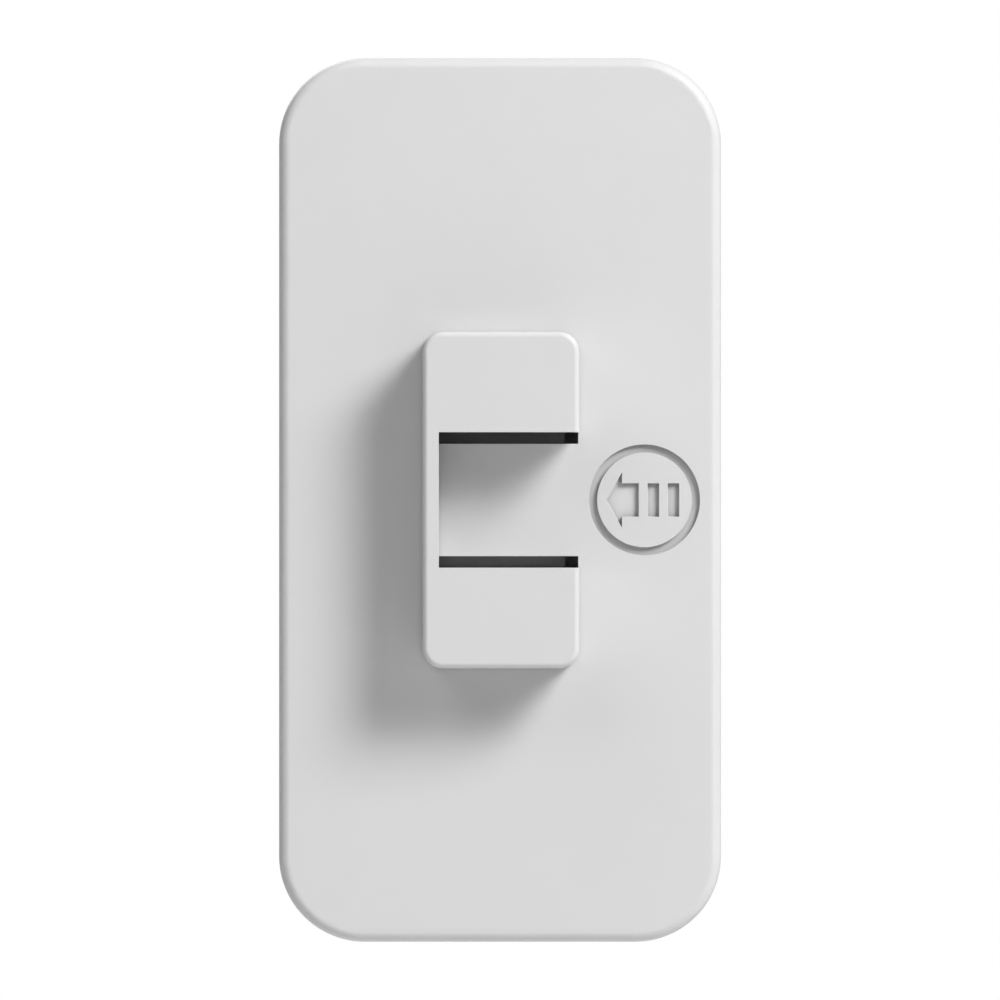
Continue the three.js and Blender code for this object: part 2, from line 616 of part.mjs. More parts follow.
/** A resistor or diode lying along Z over the board, on two bent leads. */
function axialPart({ name, length, radius, waist, x, z }, material) {
  const lead = 0.4;
  const swell = length * 0.22;
  const shoulder = swell * 1.4;
  const lift = radius + 0.6;
  const reach = length / 2 + 1.6;
  const body = turned([
    [0, -length / 2],
    [radius, -length / 2],
    [radius, swell - length / 2],
    [waist, shoulder - length / 2],
    [waist, length / 2 - shoulder],
    [radius, length / 2 - swell],
    [radius, length / 2],
    [0, length / 2],
  ]).rotate([90, 0, 0]);
  const wire = box(about(0, 2 * lead), about(0, 2 * lead), about(0, 2 * reach));
  const feet = [-1, 1].map((side) =>
    box(about(0, 2 * lead), [-lift, lead], about(side * (reach - lead), 2 * lead)),
  );
  const made = mesh(name, join(body, wire, ...feet), material);
  made.position.set(x, partsFront + lift, z);
  return made;
}

/** The low-end trim: a small potentiometer on the board. */
function trimPotBody() {
  const { size, front, boreDepth } = TRIM_BODY;
  const body = box(about(TRIM.x, size), [front, BOARD.front - GAP], about(TRIM.z, size));
  const bore = rod(TRIM.stemR + LOOSE, [front - PAST, front + boreDepth], TRIM.x, TRIM.z);
  return mesh("trim_pot_body", cut(body, bore), filmYellow);
}

/** The trim's dial, reached from the front once the face plate is off. */
function trimDial() {
  const { dialR, dialFront, dialBack, stemR, stemBack } = TRIM;
  const { length, width, depth } = TRIM_SLOT;
  const dial = join(rod(dialR, [dialFront, dialBack], 0, 0, 24), rod(stemR, [dialBack - PAST, stemBack]));
  const drive = box(about(0, length), [dialFront - PAST, dialFront + depth], about(0, width));
  const pointer = box(
    about(0, TRIM_POINTER.width),
    [dialFront - PAST, dialFront + TRIM_POINTER.depth],
    [TRIM_POINTER.start, dialR + PAST],
  );
  const made = mesh("trim_dial", cut(dial, drive, pointer), wallPlastic);
  made.position.set(TRIM.x, 0, TRIM.z);
  return made;
}

// ---------------------------------------------------------------- the housing and its terminals

/** The back housing: an open box with a boss in each corner and a recess for each terminal. */
function backHousing() {
  const { width, height, depth, wall, corner } = HOUSING;
  const inside = roundedRect(width - 2 * wall, height - 2 * wall, corner - wall);
  const shell = cut(slab(roundedRect(width, height, corner), 0, depth), slab(inside, -PAST, depth - wall));
  const bosses = [];
  const bores = [];
  for (const sx of [-1, 1]) {
    for (const sz of [-1, 1]) {
      const bossX = onSide(sx, [BOSS.x, width / 2 - wall / 2]);
      const bossZ = onSide(sz, [BOSS.z, height / 2 - wall / 2]);
      const [x, z] = [sx * HOUSING_SCREW.x, sz * HOUSING_SCREW.z];
      bosses.push(box(bossX, [0, depth - wall / 2], bossZ));
      bores.push(rod(HOUSING_SCREW.shankR + LOOSE, [-PAST, depth + PAST], x, z));
      bores.push(rod(HOUSING_SCREW.headR + LOOSE, [HOUSING_SCREW.seat, depth + PAST], x, z));
    }
  }
  const pocketWalls = [];
  const pockets = [];
  for (const { side, z } of TERMINALS) {
    const outer = width / 2 + PAST;
    const wallY = [RECESS.front - RECESS.wall, depth - wall / 2];
    pocketWalls.push(
      box(
        onSide(side, [RECESS.floor - RECESS.wall, width / 2 - wall / 2]),
        wallY,
        about(z, 2 * (RECESS.half + RECESS.wall)),
      ),
    );
    pockets.push(
      box(onSide(side, [RECESS.floor, outer]), [RECESS.front, depth + PAST], about(z, 2 * RECESS.half)),
      box(
        onSide(side, [RECESS.floor, RECESS.floor + TERMINAL.thick + 2 * GAP]),
        [RECESS.front - RECESS.wall - PAST, RECESS.front + PAST],
        about(z, 2 * (TERMINAL.tabHalf + GAP)),
      ),
      sideRod(BINDING_SCREW.holeR, side, [RECESS.floor - RECESS.wall - PAST, outer], BINDING_SCREW.y, z),
    );
  }
  const labelOutline = roundedRect(LABEL.width, LABEL.height, LABEL.corner);
  const label = slab(labelOutline, depth - LABEL.depth, depth + PAST);
  const body = cut(join(shell, ...bosses, ...pocketWalls), ...bores, ...pockets, label);
  return mesh("back_housing", body, blackPlastic);
}

/** A round rod along X on one side of the housing. */
function sideRod(radius, side, [near, far], y, z) {
  return rod(radius, [near, far]).rotate([0, 0, side > 0 ? -90 : 90]).translate([0, y, z]);
}

/** The four long screws that hold the housing to the strap, their heads sunk in its back. */
function housingScrews() {
  const { x, z, headR, headHeight, shankR, seat } = HOUSING_SCREW;
  const body = screw({ headR, headHeight, shankR, length: seat - strapFront });
  const corners = [[-x, z], [x, z], [-x, -z], [x, -z]];
  return corners.map(([px, pz], i) => {
    const made = mesh(`housing_screw_${i + 1}`, body, zincSteel);
    made.rotation.x = Math.PI;
    made.position.set(px, seat + GAP, pz);
    return made;
  });
}

/** One wire terminal: a brass plate with a tab to the board, and its binding screw. */
function terminal({ name, side, z }) {
  const { thick, half, front, back, tabHalf, footX } = TERMINAL;
  const near = RECESS.floor + GAP;
  const plateX = onSide(side, [near, near + thick]);
  const pad = box(plateX, [front, back], about(z, 2 * half));
  const tab = box(plateX, [partsFront, front + PAST], about(z, 2 * tabHalf));
  const footY = [partsFront, RECESS.front - RECESS.wall - GAP];
  const foot = box(onSide(side, [footX, near + thick]), footY, about(z, 2 * tabHalf));
  const hole = sideRod(BINDING_SCREW.holeR, side, [near - PAST, near + thick + PAST], BINDING_SCREW.y, z);
  const bindingScrew = mesh(`terminal_screw_${name}`, screw(SCREWS.binding), brass);
  bindingScrew.rotation.z = (side * Math.PI) / 2;
  bindingScrew.position.set(side * (near + thick + GAP), BINDING_SCREW.y, z);
  return [mesh(`terminal_plate_${name}`, cut(join(pad, tab, foot), hole), brass), bindingScrew];
}

// ---------------------------------------------------------------- assembly

const slider = new THREE.Group();
slider.add(sliderKnob(), slideCarriage(), wiperLever(), wiperContact());

const wallParts = new THREE.Group();
wallParts.add(facePlate(), mountingFrame(), mountingStrap(), ...strapScrews(), groundScrew());

const mechanism = new THREE.Group();
mechanism.add(slideGuide(), slidePotCase(), resistiveTrack(), contactRail());

const circuit = new THREE.Group();
circuit.add(circuitBoard(), triac(), triacInsulator(), triacScrew(), ...choke());
circuit.add(...CAPACITORS.map((size, i) => capacitor(size, [filmYellow, resistorBlue][i])));
circuit.add(...AXIAL_PARTS.map((size, i) => axialPart(size, [resistorBlue, resistorBlue, diacBlue][i])));
circuit.add(trimPotBody(), trimDial());

const housing = new THREE.Group();
housing.add(backHousing(), ...housingScrews(), ...TERMINALS.flatMap((each) => terminal(each)));

const dimmer = new THREE.Group();
dimmer.add(wallParts, slider, mechanism, circuit, housing);

export default dimmer;
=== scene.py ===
"""Looks of the slide dimmer switch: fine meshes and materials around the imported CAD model.

The frame is the CAD's: +X right, +Z up, -Y towards the room, y = 0 on the wall's surface.
Shapes are made in millimetres, and new_object scales them to Blender's metres.
"""

import json
import math

import bmesh
import bpy
from mathutils import Matrix, Vector

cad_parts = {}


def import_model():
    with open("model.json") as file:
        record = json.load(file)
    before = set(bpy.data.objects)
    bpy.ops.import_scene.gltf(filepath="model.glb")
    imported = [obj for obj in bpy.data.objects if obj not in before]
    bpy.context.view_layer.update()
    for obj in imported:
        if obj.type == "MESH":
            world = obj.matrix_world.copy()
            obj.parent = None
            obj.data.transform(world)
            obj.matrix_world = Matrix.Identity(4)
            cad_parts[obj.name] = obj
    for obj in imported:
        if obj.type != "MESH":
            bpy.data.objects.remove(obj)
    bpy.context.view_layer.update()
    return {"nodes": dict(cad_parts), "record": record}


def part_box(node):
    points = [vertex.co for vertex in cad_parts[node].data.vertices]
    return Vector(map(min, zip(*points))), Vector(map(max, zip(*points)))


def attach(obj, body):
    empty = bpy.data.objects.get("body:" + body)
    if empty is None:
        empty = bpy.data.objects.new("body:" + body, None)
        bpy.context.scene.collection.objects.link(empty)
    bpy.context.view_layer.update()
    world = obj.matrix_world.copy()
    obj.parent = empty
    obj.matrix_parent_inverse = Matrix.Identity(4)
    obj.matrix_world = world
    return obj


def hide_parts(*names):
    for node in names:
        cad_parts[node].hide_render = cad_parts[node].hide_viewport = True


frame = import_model()

MM = 0.001

# ---------------------------------------------------------------- sizes, in millimetres

GAP = 0.3  # air between pieces that rest on each other

PLATE_CORNER = 11.1
PLATE_ROLL = 1.4
PLATE_WALL = 2.2
SLOT_LEFT, SLOT_RIGHT = -9.8, 10.1
SLOT_WIDTH = 1.48
SLOT_Z = 8.01
ICON_X = 18.67
ICON_OUTER = 7.18
ICON_INNER = 6.12
ICON_DEPTH = 0.6
ARROW_TIP, ARROW_NECK, ARROW_TAIL, ARROW_HALF = -4.91, -2.91, -0.74, 3.53
BARS = [(0.43, 1.89), (3.03, 4.49)]
BAR_HALF = 2.16
HOOK_Z, HOOK_LENGTH, HOOK_REACH = 36, 8, 0.9
RIB_HEIGHTS = (24, 31, 38)

KNOB_CORNER = 2.6
KNOB_FILLET = 0.72
KNOB_BACK = -8.3
KNOB_SKIN = 2
KNOB_WALL = 1.8
KNOB_RIB = 1.4
NOTCH_HALF = 8.75
SPINE = 2.07
LEG_X, LEG_WIDTH, LEG_THICK, LEG_TIP, LEG_BARB = -8.9, 1.4, 1, -2.4, 0.54
CARRIAGE_FRONT = -5.2
CARRIAGE_BACK, CARRIAGE_HALF, CARRIAGE_REACH = -2.1, 4.5, 10.6
TONGUE_Y, TONGUE_REACH = (-4.4, -3.2), 11.6
WING_LEFT, WING_RIGHT, WING_HALF, WING_BACK = -26, 8.4, 1.6, -4.8
GUIDE_WINDOW_X, GUIDE_WINDOW_HALF = (-13.7, 13.4), 10.9
GUIDE_GROOVE_Y, GUIDE_GROOVE_HALF = (-4.7, -2.9), 11.9
LEVER_SLOT_X, LEVER_SLOT_HALF = (-12, 11.6), 3.2

# outlines as width, height and corner radius
FRAME_WINDOW = (41, 30, 2)
STRAP_MIDDLE, STRAP_LENGTH, STRAP_EAR = (43, 75, 4), (32, 105, 4), (31.4, 14, 3)
EAR_Z = 45.5

BOX_HOLE_Z = 41.65
PLATE_HOLE_Z = 48.42
HOUSING_SCREW_X, HOUSING_SCREW_Z = 17.2, 26.8
GUIDE_SCREW_X = 17.2
TRIAC_HOLE_Z = 25.2
GROUND_X, GROUND_Z = -17, -34.3
TRIM_X, TRIM_Z = 12.5, -19

TERMINALS = {"line": (1, 13), "load": (1, -13), "traveller": (-1, 0)}
RECESS_FLOOR, RECESS_HALF, RECESS_FRONT, RECESS_WALL = 17.7, 5.5, 13, 1.5
TERMINAL_SCREW_Y = 19.5
TERMINAL_BORE = 2.05

LEAD_PITCH = 2.54
SOLDER_CONE = [(0, 1.1), (0.25, 0.75), (0.6, 0.4), (0.8, 0.3)]  # height and radius
SOLDER_JOINTS = [
    (-10.5, -16.5), (-5.5, -16.5), (1, -16.6), (11, -16.6), (-12, 12.5), (-7, 12.5), (1, 8.5), (1, 20),
    (7, 10), (7, 18), (11.5, -3.2), (11.5, 3.2), (-LEAD_PITCH, 11), (LEAD_PITCH, 11),
]

# ---------------------------------------------------------------- mesh tools

AXES = {
    "X": lambda u, v, w: (w, u, v),
    "Y": lambda u, v, w: (u, w, v),
    "Z": lambda u, v, w: (u, v, w),
}


def mm_box(node):
    """A CAD node's lowest and highest corners, in millimetres."""
    low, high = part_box(node)
    return low / MM, high / MM


def new_object(name, bm):
    """A mesh object from a bmesh in millimetres."""
    bmesh.ops.recalc_face_normals(bm, faces=bm.faces)
    bmesh.ops.scale(bm, vec=(MM, MM, MM), verts=bm.verts)
    mesh = bpy.data.meshes.new(name)
    bm.to_mesh(mesh)
    bm.free()
    obj = bpy.data.objects.new(name, mesh)
    bpy.context.scene.collection.objects.link(obj)
    return obj


def in_mm(obj):
    """An object's shape as a bmesh in millimetres."""
    bm = bmesh.new()
    bm.from_mesh(obj.data)
    bmesh.ops.scale(bm, vec=(1 / MM,) * 3, verts=bm.verts)
    return bm


def unmade(obj):
    """The same, and the object goes."""
    bm = in_mm(obj)
    bpy.data.objects.remove(obj)
    return bm


def arc_outline(width, height, radius, steps=12, centre=(0, 0)):
    """A rounded rectangle's points, counterclockwise in its own plane."""
    cx, cz = centre
    w, h = width / 2 - radius, height / 2 - radius
    points = []
    for turn, (sx, sz) in enumerate([(1, 1), (-1, 1), (-1, -1), (1, -1)]):
        for i in range(steps + 1):
            angle = math.radians(90 * turn + 90 * i / steps)
            points.append((cx + sx * w + radius * math.cos(angle), cz + sz * h + radius * math.sin(angle)))
    return points


def circle_outline(radius, steps=48, centre=(0, 0), ripple=0.0, waves=0):
    """A circle's points; a ripple makes it a knurled edge."""
    cx, cz = centre
    points = []
    for i in range(steps):
        angle = 2 * math.pi * i / steps
        r = radius - ripple * (1 - math.cos(waves * angle)) / 2
        points.append((cx + r * math.cos(angle), cz + r * math.sin(angle)))
    return points


def loft(rings, axis="Y"):
    """A closed bmesh through rings of (place on the axis, points), all with the same number of points."""
    bm = bmesh.new()
    rows = [[bm.verts.new(AXES[axis](u, v, w)) for u, v in points] for w, points in rings]
    for front, back in zip(rows, rows[1:]):
        for i in range(len(front)):
            j = (i + 1) % len(front)
            bm.faces.new((front[i], back[i], back[j], front[j]))
    bm.faces.new(rows[0])
    bm.faces.new(list(reversed(rows[-1])))
    return bm


def prism(points, low, high, axis="Y"):
    return loft([(low, points), (high, points)], axis)


def brick(x, y, z):
    """A box between two values on each axis, as a cutter or the start of a shape."""
    return prism([(x[0], z[0]), (x[1], z[0]), (x[1], z[1]), (x[0], z[1])], *y)


def peg(radius, y, x=0, z=0, steps=32):
    """A round cutter or rod along Y."""
    return prism(circle_outline(radius, steps, (x, z)), *y)


def strip(path, thick, z):
    """A bent strip of even thickness: a path in X and Y, extruded along Z."""
    left, right = [], []
    for i, (x, y) in enumerate(path):
        before, after = path[max(i - 1, 0)], path[min(i + 1, len(path) - 1)]
        along = Vector((after[0] - before[0], after[1] - before[1])).normalized() * thick / 2
        left.append((x - along.y, y + along.x))
        right.append((x + along.y, y - along.x))
    return prism(left + right[::-1], *z, axis="Z")


def rolled_block(width, height, corner, roll, front, back, centre=(0, 0), steps=10, arc_steps=16, flip=False):
    """A rounded rectangle whose front edge, or with flip its back edge, is rolled over with a radius."""
    rings = []
    for i in range(steps + 1):
        angle = math.radians(90 * (1 - i / steps))
        inset = roll * (1 - math.cos(angle))
        y = front + roll * (1 - math.sin(angle))
        outline = arc_outline(width - 2 * inset, height - 2 * inset, corner - inset, arc_steps, centre)
        rings.append((y, outline))
    rings.append((back, rings[-1][1]))
    if flip:
        rings = [(front + back - y, points) for y, points in rings]
    return loft(rings)


def placed(bm, at=(0, 0, 0), angle=0, axis="X"):
    """Turns a bmesh about an axis through the origin, and then moves it."""
    matrix = Matrix.Translation(at) @ Matrix.Rotation(math.radians(angle), 4, axis)
    bmesh.ops.transform(bm, matrix=matrix, verts=bm.verts)
    return bm


def merged(*parts):
    """Several bmeshes as one."""
    whole = parts[0]
    for part in parts[1:]:
        mesh = bpy.data.meshes.new("part")
        part.to_mesh(mesh)
        part.free()
        whole.from_mesh(mesh)
        bpy.data.meshes.remove(mesh)
    return whole


def settle(obj):
    """Applies the object's modifiers."""
    depsgraph = bpy.context.evaluated_depsgraph_get()
    mesh = bpy.data.meshes.new_from_object(obj.evaluated_get(depsgraph))
    obj.modifiers.clear()
    spent = obj.data
    obj.data = mesh
    bpy.data.meshes.remove(spent)


def combine(obj, tools, operation):
    """Cuts or joins solids, given as bmeshes in millimetres, with an object."""
    for tool in tools:
        other = new_object("tool", tool)
        modifier = obj.modifiers.new("combine", "BOOLEAN")
        modifier.operation = operation
        modifier.solver = "EXACT"
        modifier.object = other
        settle(obj)
        mesh = other.data
        bpy.data.objects.remove(other)
        bpy.data.meshes.remove(mesh)
    return obj


def cut(obj, *tools):
    return combine(obj, tools, "DIFFERENCE")


def join(obj, *tools):
    return combine(obj, tools, "UNION")


def soften(obj, width, keep=None, angle=40, segments=2):
    """Rounds every edge sharper than an angle, or those that keep(middle in mm) accepts."""
    bm = bmesh.new()
    bm.from_mesh(obj.data)
    bmesh.ops.remove_doubles(bm, verts=bm.verts, dist=0.002 * MM)
    bmesh.ops.dissolve_limit(bm, angle_limit=math.radians(1), verts=bm.verts, edges=bm.edges)
    edges = []
    for edge in bm.edges:
        if len(edge.link_faces) != 2 or edge.calc_face_angle(0) < math.radians(angle):
            continue
        middle = (edge.verts[0].co + edge.verts[1].co) / 2 / MM
        if keep is None or keep(middle):
            edges.append(edge)
    bmesh.ops.bevel(
        bm, geom=edges, offset=width * MM, offset_type="OFFSET", segments=segments, profile=0.5,
        affect="EDGES", clamp_overlap=True,
    )
    bm.to_mesh(obj.data)
    bm.free()
    return obj


def finish_piece(obj, body, slot, *nodes, smooth=35, material=None):
    """Shades a piece, gives it its finish, and ties it to a body and to the CAD nodes it stands for."""
    mesh = obj.data
    for polygon in mesh.polygons:
        polygon.use_smooth = True
    mesh.set_sharp_from_angle(angle=math.radians(smooth))
    mesh.materials.clear()
    mesh.materials.append(material or MATERIALS[slot])
    weighted = obj.modifiers.new("weighted", "WEIGHTED_NORMAL")
    weighted.keep_sharp = True
    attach(obj, body)
    if nodes:
        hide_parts(*nodes)
    return obj


def paint(obj, material, where):
    """Gives a second finish to the faces whose middle, in millimetres, where() accepts."""
    mesh = obj.data
    mesh.materials.append(material)
    index = len(mesh.materials) - 1
    for polygon in mesh.polygons:
        if where(polygon.center / MM):
            polygon.material_index = index
    return obj


# ---------------------------------------------------------------- materials


class Nodes:
    """Builds one material's node tree."""

    def __init__(self, name):
        self.material = bpy.data.materials.new(name)
        self.material.use_nodes = True
        self.tree = self.material.node_tree
        self.shader = self.tree.nodes["Principled BSDF"]
        self.coords = self.add("ShaderNodeTexCoord").outputs["Object"]

    def add(self, kind, **settings):
        node = self.tree.nodes.new(kind)
        for key, value in settings.items():
            setattr(node, key, value)
        return node

    def link(self, source, target):
        self.tree.links.new(source, target)

    def noise(self, scale, detail=3.0, stretch=None, roughness=0.55):
        """Noise with about `scale` cells per metre, drawn out along an axis by `stretch`."""
        node = self.add("ShaderNodeTexNoise")
        node.inputs["Scale"].default_value = scale
        node.inputs["Detail"].default_value = detail
        node.inputs["Roughness"].default_value = roughness
        if stretch is None:
            self.link(self.coords, node.inputs["Vector"])
        else:
            mapping = self.add("ShaderNodeMapping")
            mapping.inputs["Scale"].default_value = stretch
            self.link(self.coords, mapping.inputs["Vector"])
            self.link(mapping.outputs["Vector"], node.inputs["Vector"])
        return node.outputs["Fac"]

    def ramp(self, source, stops):
        """A colour ramp through (position, colour) stops; a single number is a grey."""
        node = self.add("ShaderNodeValToRGB")
        elements = node.color_ramp.elements
        while len(elements) < len(stops):
            elements.new(0.5)
        for element, (position, colour) in zip(elements, stops):
            element.position = position
            element.color = (*colour, 1) if isinstance(colour, (tuple, list)) else (colour, colour, colour, 1)
        self.link(source, node.inputs["Fac"])
        return node.outputs["Color"]

    def mix(self, factor, a, b):
        node = self.add("ShaderNodeMix", data_type="RGBA")
        for socket, value in ((node.inputs["Factor"], factor), (node.inputs[6], a), (node.inputs[7], b)):
            if isinstance(value, bpy.types.NodeSocket):
                self.link(value, socket)
            else:
                socket.default_value = value if isinstance(value, float) else (*value, 1)
        return node.outputs[2]

    def math(self, operation, a, b):
        node = self.add("ShaderNodeMath", operation=operation)
        for socket, value in ((node.inputs[0], a), (node.inputs[1], b)):
            if isinstance(value, bpy.types.NodeSocket):
                self.link(value, socket)
            else:
                socket.default_value = value
        return node.outputs[0]

    def edges(self, radius):
        """1 along a solid's edges, within about a radius in metres, and 0 on its flats."""
        bevel = self.add("ShaderNodeBevel", samples=6)
        bevel.inputs["Radius"].default_value = radius
        geometry = self.add("ShaderNodeNewGeometry")
        product = self.add("ShaderNodeVectorMath", operation="DOT_PRODUCT")
        self.link(bevel.outputs["Normal"], product.inputs[0])
        self.link(geometry.outputs["Normal"], product.inputs[1])
        return self.ramp(product.outputs["Value"], [(0.72, 1.0), (0.99, 0.0)])

    def crevices(self, reach):
        """0 in the solid's own narrow recesses, within a reach in metres, and 1 in the open."""
        node = self.add("ShaderNodeAmbientOcclusion", samples=8, only_local=True)
        node.inputs["Distance"].default_value = reach
        return node.outputs["AO"]

    def bump(self, height, distance, strength=1.0, under=None):
        node = self.add("ShaderNodeBump")
        node.inputs["Distance"].default_value = distance
        node.inputs["Strength"].default_value = strength
        self.link(height, node.inputs["Height"])
        if under is not None:
            self.link(under, node.inputs["Normal"])
        return node.outputs["Normal"]


def moulded_plastic(
    name, colour, grain=9000, grain_depth=2e-6, rough=(0.42, 0.52), wear=0.06, vary=0.02, recess_shade=0,
):
    """Moulded plastic: a faint spark texture, slow tone changes, rubbed edges and painted shade in its own
    narrow recesses.
    """
    n = Nodes(name)
    slow = n.noise(45, 2)
    dark = tuple(c * (1 - vary) for c in colour)
    light = tuple(min(1, c * (1 + vary)) for c in colour)
    base = n.ramp(slow, [(0.3, dark), (0.7, light)])
    edge = n.edges(0.25 * MM)
    worn = tuple(min(1, c + (1 - c) * wear) for c in colour)
    # painted shade: the base colour is darkened, by the share given, in the plastic's own narrow recesses as
    # ambient occlusion finds them
    if recess_shade:
        shaded_colour = tuple(c * (1 - recess_shade) for c in colour)
        base = n.mix(n.ramp(n.crevices(1.6 * MM), [(0.35, 0.0), (0.95, 1.0)]), shaded_colour, base)
    n.link(n.mix(edge, base, worn), n.shader.inputs["Base Color"])
    smudge = n.ramp(n.noise(160, 4), [(0.35, rough[0]), (0.7, rough[1])])
    n.link(n.mix(edge, smudge, (rough[0] * 0.8,) * 3), n.shader.inputs["Roughness"])
    n.link(n.bump(n.noise(grain, 2), grain_depth), n.shader.inputs["Normal"])
    n.shader.inputs["IOR"].default_value = 1.47
    n.shader.inputs["Specular IOR Level"].default_value = 0.35
    return n.material


def stamped_metal(name, colour, rough=(0.25, 0.45), along=(1, 1, 0.04), streak=2600, depth=2e-6, wear=0.25):
    """Rolled and stamped sheet: fine streaks along one axis, stains and bright edges."""
    n = Nodes(name)
    streaks = n.noise(streak, 4, stretch=along)
    stain = n.noise(110, 4)
    dark = tuple(c * 0.82 for c in colour)
    base = n.mix(n.ramp(stain, [(0.35, 0.0), (0.7, 1.0)]), dark, colour)
    edge = n.edges(0.2 * MM)
    bright = tuple(min(1, c + (1 - c) * wear) for c in colour)
    n.link(n.mix(edge, base, bright), n.shader.inputs["Base Color"])
    mottle = n.math("ADD", n.math("MULTIPLY", streaks, 0.6), n.math("MULTIPLY", stain, 0.4))
    n.link(n.ramp(mottle, [(0.35, rough[0]), (0.65, rough[1])]), n.shader.inputs["Roughness"])
    n.link(n.bump(streaks, depth), n.shader.inputs["Normal"])
    n.shader.inputs["Metallic"].default_value = 1.0
    return n.material


def make_materials():
    """Every finish by its slot name: the plastics and other dull pieces, and the metals."""
    dull = {
        # painted shade: the wall plastic is darkened by 40% in its own grooves, slots and corners
        "wall_plastic": dict(colour=(0.61, 0.61, 0.61), vary=0.006, wear=0.03, recess_shade=0.4),
        "frame_plastic": dict(colour=(0.6, 0.6, 0.58), grain=5000, grain_depth=4e-6),
        "black_plastic": dict(
            colour=(0.024, 0.025, 0.027), grain=2600, grain_depth=2.5e-5,
            rough=(0.4, 0.6), wear=0.1, vary=0.2,
        ),
        "nylon": dict(colour=(0.24, 0.24, 0.24), grain=4000, grain_depth=3e-6),
        "epoxy_board": dict(colour=(0.02, 0.17, 0.06), grain=2500, grain_depth=6e-6, rough=(0.25, 0.4)),
        "phenolic": dict(colour=(0.2, 0.09, 0.04), grain=3000, grain_depth=4e-6),
        "ferrite": dict(colour=(0.035, 0.036, 0.04), grain=2600, grain_depth=2e-5, rough=(0.6, 0.8)),
        "film_yellow": dict(colour=(0.7, 0.4, 0.03), rough=(0.3, 0.4)),
        "resistor_blue": dict(colour=(0.09, 0.26, 0.48), rough=(0.25, 0.35)),
        "diac_blue": dict(colour=(0.05, 0.1, 0.35), rough=(0.08, 0.15)),
        "carbon": dict(colour=(0.012, 0.012, 0.013), grain=3000, rough=(0.45, 0.6)),
        "fibre": dict(colour=(0.78, 0.78, 0.77), grain=1500, grain_depth=1.5e-5, rough=(0.75, 0.9)),
        "silicone": dict(colour=(0.3, 0.33, 0.35), grain=1800, grain_depth=8e-6, rough=(0.7, 0.85)),
    }
    metals = {
        "aluminium": dict(colour=(0.74, 0.75, 0.77)),
        "zinc_steel": dict(colour=(0.66, 0.67, 0.68), rough=(0.22, 0.4), along=(1, 0.3, 1), streak=3500),
        "brass": dict(colour=(0.78, 0.58, 0.24), rough=(0.22, 0.42), along=(1, 0.1, 1)),
        "green_steel": dict(colour=(0.06, 0.34, 0.13), rough=(0.25, 0.4), along=(1, 1, 1)),
        "copper": dict(colour=(0.6, 0.24, 0.1), rough=(0.2, 0.35), along=(1, 1, 1)),
    }
    made = {name: moulded_plastic(name, **look) for name, look in dull.items()}
    made.update({name: stamped_metal(name, **look) for name, look in metals.items()})
    return made


# ---------------------------------------------------------------- what the room sees


def icon_cutters(front):
    """The ring, the arrow and the two bars, to be cut into the plate's front."""
    floor = front + ICON_DEPTH
    depth = (front - 1, floor)
    ring = new_object("ring", peg(ICON_OUTER, depth, ICON_X, 0, 96))
    cut(ring, peg(ICON_INNER, (front - 2, floor + 1), ICON_X, 0, 96))
    outline = [
        (ARROW_TIP, 0), (ARROW_NECK, -ARROW_HALF), (ARROW_NECK, -BAR_HALF), (ARROW_TAIL, -BAR_HALF),
        (ARROW_TAIL, BAR_HALF), (ARROW_NECK, BAR_HALF), (ARROW_NECK, ARROW_HALF),
    ]
    arrow = prism([(ICON_X + x, z) for x, z in outline], *depth)
    bars = [brick((ICON_X + left, ICON_X + right), depth, (-BAR_HALF, BAR_HALF)) for left, right in BARS]
    return [unmade(ring), arrow, *bars]


def snap_hook(side, z, wall_x):
    """One of the plate's hooks, with a lead-in slope towards the wall."""
    low_z, high_z = z - HOOK_LENGTH / 2, z + HOOK_LENGTH / 2
    root = side * (wall_x + PLATE_WALL / 2)
    tip = side * (wall_x - HOOK_REACH)
    blunt = side * (wall_x - HOOK_REACH / 3)
    return prism([(root, -1.8), (tip, -1.8), (tip, -1.35), (blunt, -0.8), (root, -0.8)], low_z, high_z, "Z")


def face_plate():
    """The screwless plate: a tray with a rolled front edge, two slots and the engraved icon."""
    low, high = mm_box("face_plate")
    width, height, front, back = high.x - low.x, high.z - low.z, low.y, high.y
    inside = front + PLATE_WALL
    block = rolled_block(width, height, PLATE_CORNER, PLATE_ROLL, front, back, arc_steps=24)
    plate = new_object("visual_face_plate", block)
    hollow = arc_outline(width - 2 * PLATE_WALL, height - 2 * PLATE_WALL, PLATE_CORNER - PLATE_WALL, 16)
    cut(plate, prism(hollow, inside, back + 1))
    for side in (-1, 1):
        slot_z = (side * SLOT_Z - SLOT_WIDTH / 2, side * SLOT_Z + SLOT_WIDTH / 2)
        cut(plate, brick((SLOT_LEFT, SLOT_RIGHT), (front - 1, inside + 1), slot_z))
    cut(plate, *icon_cutters(front))
    wall_x = width / 2 - PLATE_WALL
    for side in (-1, 1):
        for z in RIB_HEIGHTS:
            rib_z = (side * z - 0.5, side * z + 0.5)
            join(plate, brick((-wall_x - 0.5, wall_x + 0.5), (inside - 0.5, inside + 1.2), rib_z))
        for end in (-1, 1):
            join(plate, snap_hook(side, end * HOOK_Z, wall_x))
    soften(plate, 0.05)
    return finish_piece(plate, "base", "wall_plastic", "face_plate")


